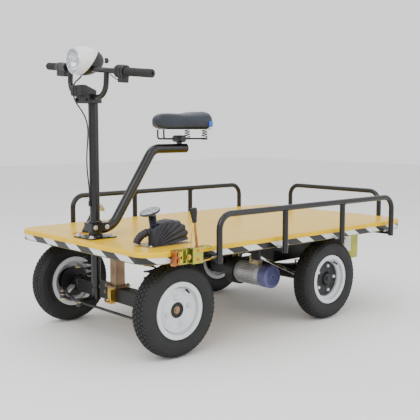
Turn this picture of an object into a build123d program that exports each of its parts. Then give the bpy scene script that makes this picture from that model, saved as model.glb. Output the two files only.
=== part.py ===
from build123d import *
import math
import os

# Electric platform truck, in millimetres.
# The front is -Y, the driver's left is +X and +Z is up.
# The origin is on the ground, below the middle of the whole truck.

# Deck: a pressed sheet tray with a striped apron band below its lip
DECK_WIDTH = 1000
DECK_LENGTH = 1660
DECK_TOP = 450
DECK_SHEET = 3
DECK_LIP = 19
DECK_CORNER = 90
DECK_EDGE_ROUND = 8
APRON_BOTTOM = 404
APRON_SHEET = 3
SEAT_GAP = 0.3

# Rails: bent round tube around the load space
RAIL_TUBE = 25
RAIL_WALL = 2
RAIL_BEND = 60
RAIL_HEIGHT = 126
RAIL_OUTSTAND = 25.5
RAIL_FOOT_DROP = 66
SIDE_RAIL_FRONT_SETBACK = 325
SIDE_RAIL_REAR_SETBACK = 186
SIDE_RAIL_POSTS = (0.33, 0.665)
REAR_RAIL_SPAN = 630
REAR_RAIL_OUTSTAND = 11.5

# Chassis frame
RUNNER_SPACING = 500
RUNNER_WIDTH = 50
RUNNER_DEPTH = 58
OUTRIGGER_WIDTH = 40
OUTRIGGER_DEPTH = 12
CROSS_WIDTH = 60
FRAME_END_GAP = 40
MOTOR_CROSS_AHEAD = 150
TAIL_BAR_INSET = 130
HANGER_LENGTH = 28

# Wheels and axles
WHEEL_BASE = 930
FRONT_AXLE_SETBACK = 215
TRACK = 786
TYRE_RADIUS = 192
TYRE_WIDTH = 90
TYRE_SHOULDER_DROP = 9
TREAD_INSET = 12
TREAD_CHAMFER = 7
BEAD_RADIUS = 101.5
RIM_WIDTH = 64
RIM_SHEET = 4
RIM_FLANGE_RADIUS = 116
RIM_WELL_RADIUS = 90
RIM_WELL_WIDTH = 22
RIM_WELL_SLOPE = 8
RUNNING_GAP = 0.5

FRONT_DISC_OFFSET = 17
FRONT_HUB_RADIUS = 31.5
FRONT_HUB_RECESS = 6
FRONT_FLANGE_RADIUS = 58
STUB_RADIUS = 12
FRONT_HUB_BACK = -24
FRONT_HUB_FLANGE = 8
FRONT_HUB_CAP = 4
REAR_DISC_OFFSET = -4
REAR_NECK_RADIUS = 38
REAR_PLATE = 7
DRUM_RADIUS = 84
DRUM_LENGTH = 44
REAR_HUB_RADIUS = 30
REAR_HUB_REACH = 18
REAR_SHAFT_RADIUS = 14

# Front axle and steering
KINGPIN_INSET = 73
BEAM_SIZE = 60
BEAM_END_INSET = 50
EAR_THICKNESS = 12
EAR_RADIUS = 18
KINGPIN_RADIUS = 8
BOSS_HEIGHT = 42
STEER_ARM = 85
ARM_WIDTH = 22
ARM_THICKNESS = 10
ARM_DROP = 24
ARM_DROP_START = 36
ARM_DROP_END = 64
ARM_MITRE = 4
PIN_RADIUS = 5
EYE_RADIUS = 13
EYE_THICKNESS = 14
EYE_SPACER = 6
LINK_RADIUS = 6
BALL_BOOT = 4
PIN_OVERRUN = 4
BRAKE_PLATE_INSET = 38
BRAKE_PLATE_RADIUS = 70
BRAKE_PLATE_THICKNESS = 8
POST_SIZE = 46
POST_FLANGE = 80
FLANGE_THICKNESS = 8
FRONT_SPRING_SPACING = 466
FRONT_SPRING_RADIUS = 27
FRONT_SPRING_WIRE = 9
FRONT_SPRING_TURNS = 6

# Steering column and handlebar
COLUMN_SETBACK = 104
COLUMN_RADIUS = 21
COLUMN_WALL = 2.5
COLUMN_TOP = 1013
SLEEVE_RADIUS = 28
SLEEVE_HEIGHT = 67
BASE_PLATE = 130
BASE_THICKNESS = 6
SHAFT_RADIUS = 12
HOUSING_RADIUS = 20
HOUSING_BOTTOM = 252
SHAFT_BOSS_TOP = 234
COLLAR_WIDTH = 66
COLLAR_REACH = 56
COLLAR_WALL = 8
COLLAR_ROOM = 3
COLLAR_BOTTOM = 478
COLLAR_HEIGHT = 36
GLAND_RADIUS = 6
GLAND_LENGTH = 22
BAR_RADIUS = 11
BAR_WALL = 2
BAR_LENGTH = 760
BAR_ABOVE_LOOP = 110
BAR_FORWARD = 28
BAR_SWEEP = 38
BAR_ROLL = 5.5
LOOP_HEIGHT = 1042.5
LOOP_WIDTH = 270
LOOP_BEND = 60
KNEE_BEND = 90
CLAMP_WIDTH = 90
CLAMP_FRONT = 56
CLAMP_REAR = 19
CLAMP_CORNER = 8
CONSOLE_WIDTH = 70
CONSOLE_FRONT = 87
CONSOLE_FRONT_TOP = 1086
CONSOLE_REAR_TOP = 1063
CONSOLE_CORNER = 7
CONSOLE_FLAT = 30
GRIP_RADIUS = 16.5
GRIP_OVERHANG = 4
POD_THICKNESS = 32
LAMP_RADIUS = 52.5
LAMP_BELLY = 59.5
LAMP_BELLY_BACK = 50
LAMP_RIM = 8
LAMP_TAIL = 30
LAMP_LENGTH = 128
LAMP_TILT = 4
LAMP_CENTRE = 1181
LAMP_FACE_FORWARD = 92
BOWL_RADIUS = 48
BOWL_DEPTH = 34
LENS_THICKNESS = 4
CABLE_RADIUS = 3
THIN_CABLE_RADIUS = 2
KEY_REACH = 30
KEY_RADIUS = 4
KEY_HEAD = (-9, 11)
KEY_HEAD_WIDTH = 6

# Seat
SEAT_TUBE_RADIUS = 21
SEAT_TUBE_WALL = 3
SEAT_TUBE_LOW = 485
SEAT_TUBE_HIGH = 819
SEAT_KNEE = 85
SEAT_RISE_RUN = 225
SEAT_REACH = 503
SEAT_BENDS = (95, 62)
SEAT_PIN_INSET = 40
SEAT_PIN_RADIUS = 13
SEAT_CLAMP_WIDTH = 64
SADDLE_LENGTH = 281
SADDLE_WIDTH = 206
SADDLE_NOSE = 56
SADDLE_NOSE_AHEAD = 147
SADDLE_BASE = 905
SADDLE_NOSE_TOP = 62
SADDLE_MIDDLE_TOP = 75
SADDLE_TAIL_TOP = 88
SADDLE_EDGE = 9
RAIL_ROD_RADIUS = 4
SADDLE_RAIL_SPACING = 44
SADDLE_RAIL_INSET = 40
SADDLE_RAIL_SHARE = 0.35
SADDLE_SPRING_INSET = 33
SADDLE_SPRING_RADIUS = 14
SADDLE_SPRING_WIRE = 4
SADDLE_SPRING_SPACING = 124

# Pedals and hand lever, left of the column unless they are told apart
NEAR_BOOT_X = 385
NEAR_BOOT_WIDTH = 120
NEAR_BOOT_TIP = 52
NEAR_BOOT_SETBACK = 122
NEAR_FLANGE = 3
PLEAT_SPREAD = 3.4
PLEAT_DEPTH = 6
STALK_RADIUS = 16
STALK_INSET = 8
STALK_BACK = 26
STALK_LEAN = 10
STALK_FOOT = 60
STALK_TOP = 124
FLANGE_FRONT = 18
PAD_PIN_RADIUS = 6
PAD_RADIUS = 50
PAD_THICKNESS = 11
PAD_TILT = 18
FAR_BOOT_X = -161
FAR_BOOT_SETBACK = 162
FAR_BOOT_RADIUS = 25
FAR_BOOT_TOP = 9
FAR_ARM_RADIUS = 5
FAR_ARM_SOCKET = 12
FAR_ARM_START = (36, 6, 80)
FAR_ARM_RUN = (28, 18, 38)
FAR_PLATE_SIZE = 68
FAR_PLATE_DEPTH = 42
FAR_PLATE_SHEET = 6
FAR_PLATE_TILT = 32
LEVER_OUTREACH = 16
LEVER_SETBACK = 228
LEVER_RADIUS = 5
LEVER_SEAT = 2
LEVER_ROD = 95
LEVER_GRIP_HEIGHT = 55
LEVER_LEAN = 19
LEVER_FERRULE = 3
BRACKET_LENGTH = 139
BRACKET_DEPTH = 62
BRACKET_SHEET = 4
BRACKET_OUTREACH = 24
RING_RADIUS = 22
RING_WIRE = 3.5

# Drive
MOTOR_RADIUS = 56.5
MOTOR_CORE_RADIUS = 50
MOTOR_FINS = 28
MOTOR_FIN_WIDTH = 3.5
MOTOR_LENGTH = 218
MOTOR_FLANGE = 14
FAN_COVER_LENGTH = 52
MOTOR_FORWARD = 164
MOTOR_END = 208
GEAR_CASE_WIDTH = 58
GEAR_CASE_RADIUS = 66
AXLE_TUBE_RADIUS = 30
DIFF_RADIUS = 74
LEAF_WIDTH = 45
LEAF_THICKNESS = 7
LEAF_COUNT = 4
LEAF_HALF_LENGTH = 244
LEAF_CAMBER = 38
LEAF_STEP = 0.22
BATTERY_WIDTH = 400
BATTERY_LENGTH = 330
BATTERY_DEPTH = 120
BATTERY_AHEAD = 100
BATTERY_CORNER = 12
REAR_BOX_WIDTH = 115
REAR_BOX_LENGTH = 122
REAR_BOX_BOTTOM = 240
REAR_BOX_GAP = 2
REAR_BOX_CORNER = 5
RADIUS_ROD_RADIUS = 8
RADIUS_ROD_HIGH = 324
RADIUS_ROD_AHEAD = 342
RADIUS_ROD_CLEARANCE = 5
RADIUS_ROD_LUG = 34
BEAM_STRAP_WIDTH = 52
BEAM_STRAP_SHEET = 5
BEAM_STRAP_REACH = 25
BEAM_STRAP_DROP = 6

# Values worked out from the sizes above
OVERHANG = REAR_RAIL_OUTSTAND + RAIL_TUBE
FRONT_Y = -(DECK_LENGTH + OVERHANG) / 2
REAR_Y = FRONT_Y + DECK_LENGTH
DECK_MIDDLE = (FRONT_Y + REAR_Y) / 2
DECK_UNDER = DECK_TOP - DECK_SHEET
FRAME_UNDER = DECK_UNDER - RUNNER_DEPTH
OUTRIGGER_TOP = APRON_BOTTOM
SIDE_RAIL_X = DECK_WIDTH / 2 + RAIL_OUTSTAND + RAIL_TUBE / 2
RAIL_TOP = DECK_TOP + RAIL_HEIGHT
RAIL_FOOT = DECK_TOP - RAIL_FOOT_DROP
SIDE_RAIL_REAR = REAR_Y - SIDE_RAIL_REAR_SETBACK
SIDE_RAIL_FRONT = FRONT_Y + SIDE_RAIL_FRONT_SETBACK
POST_YS = [SIDE_RAIL_FRONT + share * (SIDE_RAIL_REAR - SIDE_RAIL_FRONT) for share in (0, *SIDE_RAIL_POSTS, 1)]
REAR_RAIL_Y = REAR_Y + REAR_RAIL_OUTSTAND + RAIL_TUBE / 2
FRONT_AXLE_Y = FRONT_Y + FRONT_AXLE_SETBACK
REAR_AXLE_Y = FRONT_AXLE_Y + WHEEL_BASE
WHEEL_X = TRACK / 2
KINGPIN_X = WHEEL_X - KINGPIN_INSET
COLUMN_Y = FRONT_Y + COLUMN_SETBACK
BAR_Y = COLUMN_Y - BAR_FORWARD
BAR_HEIGHT = LOOP_HEIGHT + BAR_ABOVE_LOOP
SEAT_PIN_Y = COLUMN_Y + SEAT_REACH - SEAT_PIN_INSET
SADDLE_NOSE_Y = SEAT_PIN_Y - SADDLE_NOSE_AHEAD
SADDLE_TAIL_Y = SADDLE_NOSE_Y + SADDLE_LENGTH
BRACKET_TOP = DECK_TOP + 6
LEVER_X = DECK_WIDTH / 2 + LEVER_OUTREACH
LEVER_BASE = BRACKET_TOP + LEVER_SEAT
LEVER_GRIP_BASE = LEVER_BASE + LEVER_ROD
LEVER_TOP = LEVER_GRIP_BASE + LEVER_GRIP_HEIGHT
RADIUS_ROD_X = RUNNER_SPACING / 2 + LEAF_WIDTH / 2 + RADIUS_ROD_RADIUS + RADIUS_ROD_CLEARANCE
SLEEVE_TOP = DECK_TOP + SLEEVE_HEIGHT
ARM_TOP = TYRE_RADIUS - 8
ARM_TIP_TOP = ARM_TOP - ARM_DROP
ARM_TIP_BOTTOM = ARM_TIP_TOP - ARM_THICKNESS
DRAG_EYE_BOTTOM = ARM_TIP_TOP + EYE_SPACER + SEAT_GAP
DRAG_EYE_TOP = DRAG_EYE_BOTTOM + EYE_THICKNESS
PITMAN_BOTTOM = DRAG_EYE_TOP + EYE_SPACER
TIE_EYE_TOP = ARM_TIP_BOTTOM - EYE_SPACER - SEAT_GAP
TIE_EYE_BOTTOM = TIE_EYE_TOP - EYE_THICKNESS
STEER_BALL_Y = FRONT_AXLE_Y - STEER_ARM
PITMAN_BALL_Y = COLUMN_Y - STEER_ARM
BEAM_HALF = KINGPIN_X - BEAM_END_INSET
BEAM_TOP = TYRE_RADIUS + BEAM_SIZE / 2
BEAM_BOTTOM = TYRE_RADIUS - BEAM_SIZE / 2
MOTOR_Y = REAR_AXLE_Y - MOTOR_FORWARD
MOTOR_FOOT = MOTOR_END - MOTOR_LENGTH
LEAF_RADIUS = (LEAF_HALF_LENGTH**2 + LEAF_CAMBER**2) / (2 * LEAF_CAMBER)
SIDES = (("left", 1), ("right", -1))


# How the whole handlebar leans about the clamp: the driver's right end is the higher one
BAR_LEAN = Pos(0, BAR_Y, LOOP_HEIGHT) * Rot(0, BAR_ROLL, 0) * Pos(0, -BAR_Y, -LOOP_HEIGHT)

# Grips and housings on the bar: side, grip length from the bar's end, sleeve length and radius, then the
# pod's start along the sleeve, its length and how far it hangs below the bar
HANDS = (
    (1, 136, 47, 25, 3, 30, 43),
    (-1, 114, 102, 20, 14, 62, 39),
)

# The left boot's hose: offset from the boot's outer side, from its front foot and from the deck
HORN_LINE = ((-33, 34, 58), (-50, -4, 62), (-77, -32, 37), (-83, -38, 12))

# Pleats of the near boot: angle above the deck in degrees and reach from the boot's front foot
PLEATS = ((4, 184), (13, 188), (23, 182), (33, 166), (43, 146), (54, 127), (66, 108), (79, 90))

# Where the lamp's white shell ends and its dark foot begins: distance behind the face and height above
# the lamp's axis
LAMP_SPLIT = ((24, -60), (60, -6), (98, 34), (140, 38))

# The reflector bowl's curve: shares of its mouth radius and of its depth
BOWL_CURVE = ((0.84, 0.5), (0.58, 0.8), (0.24, 1), (0, 1))

# The hand lever's grip: radius and share of its length
LEVER_GRIP = ((9, 0), (10, 0.25), (13, 0.6), (14, 0.7), (14, 1))

# The lamp cable's route: offset in Y from the column's middle and height
LAMP_CABLE_LINE = (
    (-53.75, 1122.5),
    (-67.75, 1109),
    (-87.75, 1095),
    (-95.75, 1070),
    (-93.75, 1040),
    (-80.75, 1012),
    (-56.75, 984),
    (-36.75, 952),
    (-26.75, 912),
    (-28.75, 862),
    (-34.75, 806),
    (-35.75, 748),
    (-29.75, 692),
    (-24.75, 645),
    (-24.75, 607),
)

# Control cables: name, radius and the points of the route
CABLES = (
    (
        "lamp cable",
        CABLE_RADIUS,
        [(0, COLUMN_Y + y, z) for y, z in LAMP_CABLE_LINE],
    ),
    (
        "throttle cable",
        THIN_CABLE_RADIUS,
        [
            (218, BAR_Y + 12, 1096),
            (190, BAR_Y + 6, 1104),
            (163, BAR_Y + 4, 1124.2),
        ],
    ),
)

parts = {}


def block(x0, x1, y0, y1, z0, z1):
    """A box between two corners."""
    size = (x1 - x0, y1 - y0, z1 - z0)
    return Pos(x0, y0, z0) * Box(*size, align=(Align.MIN, Align.MIN, Align.MIN))


def rod(start, end, radius):
    """A round bar between two points."""
    start, end = Vector(*start), Vector(*end)
    axis = Plane(origin=start, z_dir=end - start)
    return axis * Cylinder(radius, (end - start).length, align=(Align.CENTER, Align.CENTER, Align.MIN))


def upright(x, y, z0, z1, radius):
    """A vertical round bar."""
    return rod((x, y, z0), (x, y, z1), radius)


def bent_tube(points, bends, radius, wall=0):
    """A tube, or a bar when it has no wall, along straight runs joined by arcs."""
    path = FilletPolyline(*points, radius=bends) if len(points) > 2 else Polyline(*points)
    ring = Circle(radius)
    if wall:
        ring -= Circle(radius - wall)
    return sweep((path ^ 0) * ring, path=path)


def easy_bends(points):
    """The largest fair radius at each corner of a cable's route."""
    spots = [Vector(*point) for point in points]
    radii = []
    for before, here, after in zip(spots, spots[1:], spots[2:]):
        turn = math.radians((here - before).get_angle(after - here))
        shorter = min((here - before).length, (after - here).length)
        radii.append(0.45 * shorter / math.tan(turn / 2))
    return radii


def bellows(foot, top, foot_radius, top_radius, folds, depth):
    """A closed rubber bellows between two points, with its folds as a zigzag outline."""
    foot, top = Vector(*foot), Vector(*top)
    length = (top - foot).length
    steps = 2 * folds
    outer = [
        (foot_radius + (top_radius - foot_radius) * step / steps - depth * (step % 2), length * step / steps)
        for step in range(steps + 1)
    ]
    half = Plane.XZ * make_face(Polyline((0, 0), *outer, (0, length), close=True))
    return Plane(origin=foot, z_dir=top - foot) * revolve(half, Axis.Z)


def side_plate(points, x0, x1):
    """A plate seen from the side: its outline in Y and Z, its thickness along X."""
    face = Plane.YZ * make_face(Polyline(*points, close=True))
    return Pos(x0, 0, 0) * extrude(face, x1 - x0)


def ring_about_x(outline):
    """Turns a closed outline of (offset along X, radius) points and arcs about the X axis."""
    return revolve(outline, Axis.X)


def outline(points):
    """A face from (offset, radius) points joined by straight lines."""
    return make_face(Polyline(*points, close=True))


def rounded_slab(width, length, radius, z0, z1):
    """The deck's plan, with its four round corners, between two heights."""
    plan = Pos(0, DECK_MIDDLE, z0) * RectangleRounded(width, length, radius)
    return extrude(plan, z1 - z0)


# Deck
def make_deck():
    """The pressed tray: flat top, rolled edge and turned-down lip."""
    lip_bottom = DECK_TOP - DECK_LIP
    tray = rounded_slab(DECK_WIDTH, DECK_LENGTH, DECK_CORNER, lip_bottom, DECK_TOP)
    tray = fillet(tray.faces().sort_by(Axis.Z)[-1].edges(), DECK_EDGE_ROUND)
    inside = rounded_slab(
        DECK_WIDTH - 2 * DECK_SHEET,
        DECK_LENGTH - 2 * DECK_SHEET,
        DECK_CORNER - DECK_SHEET,
        lip_bottom,
        DECK_UNDER,
    )
    inside = fillet(inside.faces().sort_by(Axis.Z)[-1].edges(), DECK_EDGE_ROUND - DECK_SHEET)
    return tray - inside - upright(0, COLUMN_Y, DECK_UNDER - 1, DECK_TOP + 1, HOUSING_RADIUS + SEAT_GAP)


def make_apron():
    """The upright band below the lip, one sheet that follows the deck's edge."""
    inset = DECK_SHEET + SEAT_GAP
    top = DECK_UNDER - DECK_EDGE_ROUND
    bands = []
    for depth in (inset, inset + APRON_SHEET):
        bands.append(
            rounded_slab(
                DECK_WIDTH - 2 * depth,
                DECK_LENGTH - 2 * depth,
                DECK_CORNER - depth,
                APRON_BOTTOM,
                top,
            )
        )
    return bands[0] - bands[1]


# Frame
def make_frame():
    """Two runners, cross members and outriggers that reach the rail posts."""
    front = FRONT_Y + FRAME_END_GAP
    rear = REAR_Y - FRAME_END_GAP
    half = RUNNER_WIDTH / 2
    reach = RUNNER_SPACING / 2
    frame = block(-reach - half, half - reach, front, rear, FRAME_UNDER, DECK_UNDER)
    frame += block(reach - half, reach + half, front, rear, FRAME_UNDER, DECK_UNDER)
    wide = CROSS_WIDTH / 2
    for y in (COLUMN_Y, FRONT_AXLE_Y, MOTOR_Y - MOTOR_CROSS_AHEAD, rear - wide):
        frame += block(-reach, reach, y - wide, y + wide, FRAME_UNDER, DECK_UNDER)
    arm = OUTRIGGER_WIDTH / 2
    low = OUTRIGGER_TOP - OUTRIGGER_DEPTH
    for y in POST_YS:
        frame += block(-SIDE_RAIL_X, SIDE_RAIL_X, y - arm, y + arm, low, OUTRIGGER_TOP)
    tail = REAR_Y - TAIL_BAR_INSET
    span = REAR_RAIL_SPAN / 2
    frame += block(-span - arm, span + arm, tail, tail + OUTRIGGER_WIDTH, low, OUTRIGGER_TOP)
    for x in (-span, span):
        frame += block(x - arm, x + arm, tail, REAR_RAIL_Y, low, OUTRIGGER_TOP)
    frame -= upright(0, COLUMN_Y, FRAME_UNDER - 1, DECK_UNDER + 1, HOUSING_RADIUS + SEAT_GAP)
    post_hole = RAIL_TUBE / 2 + SEAT_GAP
    posts = [(x, y) for x in (-SIDE_RAIL_X, SIDE_RAIL_X) for y in POST_YS]
    posts += [(x, REAR_RAIL_Y) for x in (-span, span)]
    for x, y in posts:
        frame -= upright(x, y, FRAME_UNDER, DECK_TOP, post_hole)
    return frame


def make_spring_hangers():
    """The brackets below the runners that hold the leaf springs' ends and the radius rods."""
    half = RUNNER_WIDTH / 2
    reach = HANGER_LENGTH / 2
    low = leaf_end_height() + SEAT_GAP
    hangers = []
    for side in (1, -1):
        x = side * RUNNER_SPACING / 2
        for y in (REAR_AXLE_Y - LEAF_HALF_LENGTH, REAR_AXLE_Y + LEAF_HALF_LENGTH):
            hangers.append(block(x - half, x + half, y - reach, y + reach, low, FRAME_UNDER))
        y = REAR_AXLE_Y - RADIUS_ROD_AHEAD
        drop = RADIUS_ROD_HIGH - RADIUS_ROD_RADIUS * 2
        x0, x1 = sorted((x, side * (RADIUS_ROD_X + reach)))
        hangers.append(block(x0, x1, y - reach, y, drop, FRAME_UNDER))
    return hangers


# Rails
def make_side_rails():
    """Each side rail: one bent hoop with two posts inside it."""
    rails = []
    for side in (1, -1):
        x = side * SIDE_RAIL_X
        hoop = bent_tube(
            [
                (x, SIDE_RAIL_FRONT, RAIL_FOOT),
                (x, SIDE_RAIL_FRONT, RAIL_TOP),
                (x, SIDE_RAIL_REAR, RAIL_TOP),
                (x, SIDE_RAIL_REAR, RAIL_FOOT),
            ],
            RAIL_BEND,
            RAIL_TUBE / 2,
            RAIL_WALL,
        )
        for y in POST_YS[1:-1]:
            hoop += upright(x, y, RAIL_FOOT, RAIL_TOP - RAIL_TUBE / 4, RAIL_TUBE / 2)
        rails.append(hoop)
    return rails


def make_rear_rail():
    """The hoop across the tail."""
    half = REAR_RAIL_SPAN / 2
    return bent_tube(
        [
            (-half, REAR_RAIL_Y, RAIL_FOOT),
            (-half, REAR_RAIL_Y, RAIL_TOP),
            (half, REAR_RAIL_Y, RAIL_TOP),
            (half, REAR_RAIL_Y, RAIL_FOOT),
        ],
        RAIL_BEND,
        RAIL_TUBE / 2,
        RAIL_WALL,
    )


# Wheels, drawn about the X axis with the wheel's middle plane at X = 0 and its outer side at +X
def make_tyre():
    """A tyre with a bulged side wall and a nearly flat tread."""
    half = TYRE_WIDTH / 2
    seat = RIM_WIDTH / 2 - SEAT_GAP
    bore = BEAD_RADIUS + SEAT_GAP
    bead = RIM_FLANGE_RADIUS + 1
    shoulder = TYRE_RADIUS - TYRE_SHOULDER_DROP
    edge = shoulder - TREAD_CHAMFER
    belly = (bead + edge) / 2
    tread_half = half - TREAD_INSET
    edge_half = tread_half + TREAD_CHAMFER / 2
    lines = [ThreePointArc((tread_half, shoulder), (0, TYRE_RADIUS), (-tread_half, shoulder))]
    for sign in (1, -1):
        lines += [
            Line((sign * seat, bore), (sign * seat, bead)),
            TangentArc((sign * half, belly), (sign * seat, bead), tangent=(0, -1)),
            TangentArc((sign * half, belly), (sign * edge_half, edge), tangent=(0, 1)),
            Line((sign * edge_half, edge), (sign * tread_half, shoulder)),
        ]
    lines.append(Line((-seat, bore), (seat, bore)))
    return ring_about_x(make_face(lines))


def make_rim(disc_offset, hole_radius):
    """A pressed rim: flanges, bead seats, a well and a disc at its offset."""
    half = RIM_WIDTH / 2
    well = RIM_WELL_WIDTH / 2
    ledge = well + RIM_WELL_SLOPE
    sheet = RIM_SHEET
    seat = BEAD_RADIUS
    low = RIM_WELL_RADIUS
    profile = [
        (half, RIM_FLANGE_RADIUS),
        (half, seat),
        (ledge, seat),
        (well, low),
        (-well, low),
        (-ledge, seat),
        (-half, seat),
        (-half, RIM_FLANGE_RADIUS),
        (-half - sheet, RIM_FLANGE_RADIUS),
        (-half - sheet, seat - sheet),
        (-ledge - sheet / 2, seat - sheet),
        (-well - sheet / 2, low - sheet),
        (well + sheet / 2, low - sheet),
        (ledge + sheet / 2, seat - sheet),
        (half + sheet, seat - sheet),
        (half + sheet, RIM_FLANGE_RADIUS),
    ]
    barrel = ring_about_x(outline(profile))
    disc = ring_about_x(
        outline(
            [
                (disc_offset, hole_radius),
                (disc_offset, low - sheet + 1),
                (disc_offset - sheet, low - sheet + 1),
                (disc_offset - sheet, hole_radius),
            ]
        )
    )
    return barrel + disc


def make_front_hub():
    """A hub with a bolting flange behind the disc and a cap that shows in the disc's hole."""
    back = FRONT_HUB_BACK
    neck = FRONT_HUB_RADIUS - 4
    face = FRONT_DISC_OFFSET - RIM_SHEET - SEAT_GAP
    cap = FRONT_DISC_OFFSET - FRONT_HUB_RECESS + FRONT_HUB_CAP
    inside = cap - FRONT_HUB_FLANGE
    bore = STUB_RADIUS + RUNNING_GAP
    return ring_about_x(
        outline(
            [
                (back, bore),
                (back, neck),
                (face - FRONT_HUB_FLANGE, neck),
                (face - FRONT_HUB_FLANGE, FRONT_FLANGE_RADIUS),
                (face, FRONT_FLANGE_RADIUS),
                (face, FRONT_HUB_RADIUS),
                (cap - 3, FRONT_HUB_RADIUS),
                (cap, FRONT_HUB_RADIUS - 3),
                (cap, 0),
                (inside, 0),
                (inside, bore),
            ]
        )
    )


def make_rear_hub():
    """A brake drum with a face plate and a central boss."""
    face = REAR_DISC_OFFSET + SEAT_GAP
    plate = face + REAR_PLATE
    back = REAR_DISC_OFFSET - RIM_SHEET - SEAT_GAP
    bore = REAR_SHAFT_RADIUS + RUNNING_GAP
    return ring_about_x(
        outline(
            [
                (back - DRUM_LENGTH, bore),
                (back - DRUM_LENGTH, DRUM_RADIUS - 6),
                (back, DRUM_RADIUS - 6),
                (back, REAR_NECK_RADIUS),
                (face, REAR_NECK_RADIUS),
                (face, DRUM_RADIUS - 2),
                (plate, DRUM_RADIUS - 2),
                (plate, REAR_HUB_RADIUS),
                (plate + REAR_HUB_REACH, REAR_HUB_RADIUS - 5),
                (plate + REAR_HUB_REACH, 0),
                (plate, 0),
                (plate, bore),
            ]
        )
    )


def place_wheel(shape, x, y):
    """Sets a wheel piece at its axle, with its outer side away from the truck."""
    turned = shape if x > 0 else shape.rotate(Axis.Z, 180)
    return Pos(x, y, TYRE_RADIUS) * turned


def make_wheels():
    """Four wheels from one tyre, two rims and two hubs."""
    tyre = make_tyre()
    front_rim = make_rim(FRONT_DISC_OFFSET, FRONT_HUB_RADIUS + 1)
    rear_rim = make_rim(REAR_DISC_OFFSET, REAR_NECK_RADIUS + 1)
    front_hub = make_front_hub()
    rear_hub = make_rear_hub()
    for end, y, rim, hub in (
        ("front", FRONT_AXLE_Y, front_rim, front_hub),
        ("rear", REAR_AXLE_Y, rear_rim, rear_hub),
    ):
        for name, side in SIDES:
            place = f"{end}_{name}"
            parts[f"tyre_{place}"] = place_wheel(tyre, side * WHEEL_X, y)
            parts[f"rim_{place}"] = place_wheel(rim, side * WHEEL_X, y)
            parts[f"hub_{place}"] = place_wheel(hub, side * WHEEL_X, y)


# Front axle
def make_front_axle():
    """A box beam with a pair of ears at each end."""
    half = BEAM_SIZE / 2
    beam = block(-BEAM_HALF, BEAM_HALF, FRONT_AXLE_Y - half, FRONT_AXLE_Y + half, BEAM_BOTTOM, BEAM_TOP)
    boss = BOSS_HEIGHT / 2 + 1
    for name, side in SIDES:
        for low in (TYRE_RADIUS + boss, TYRE_RADIUS - boss - EAR_THICKNESS):
            x0, x1 = sorted((side * (BEAM_HALF - 5), side * KINGPIN_X))
            high = low + EAR_THICKNESS
            ear = block(x0, x1, FRONT_AXLE_Y - EAR_RADIUS, FRONT_AXLE_Y + EAR_RADIUS, low, high)
            ear += upright(side * KINGPIN_X, FRONT_AXLE_Y, low, high, EAR_RADIUS)
            beam += ear
        bore = KINGPIN_RADIUS + RUNNING_GAP
        beam -= upright(side * KINGPIN_X, FRONT_AXLE_Y, BEAM_BOTTOM - 40, BEAM_TOP + 40, bore)
    return beam


def make_axle_post():
    """The square post that hangs the beam from the frame, with a flange at each end."""
    half = POST_SIZE / 2
    wide = POST_FLANGE / 2
    post = block(-half, half, FRONT_AXLE_Y - half, FRONT_AXLE_Y + half, BEAM_TOP, FRAME_UNDER)
    for low in (BEAM_TOP, FRAME_UNDER - FLANGE_THICKNESS):
        flange = block(-wide, wide, FRONT_AXLE_Y - wide, FRONT_AXLE_Y + wide, low, low + FLANGE_THICKNESS)
        post += flange
    return post


def make_front_springs():
    """A coil spring on each side between the beam and the frame."""
    low = BEAM_TOP + FRONT_SPRING_WIRE / 2
    height = FRAME_UNDER - BEAM_TOP - FRONT_SPRING_WIRE
    radius = FRONT_SPRING_RADIUS - FRONT_SPRING_WIRE / 2
    springs = []
    for name, side in SIDES:
        coil = Helix(pitch=height / FRONT_SPRING_TURNS, height=height, radius=radius)
        wire = sweep((coil ^ 0) * Circle(FRONT_SPRING_WIRE / 2 - SEAT_GAP), path=coil, is_frenet=True)
        springs.append(Pos(side * FRONT_SPRING_SPACING / 2, FRONT_AXLE_Y, low) * wire)
    return springs


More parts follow.
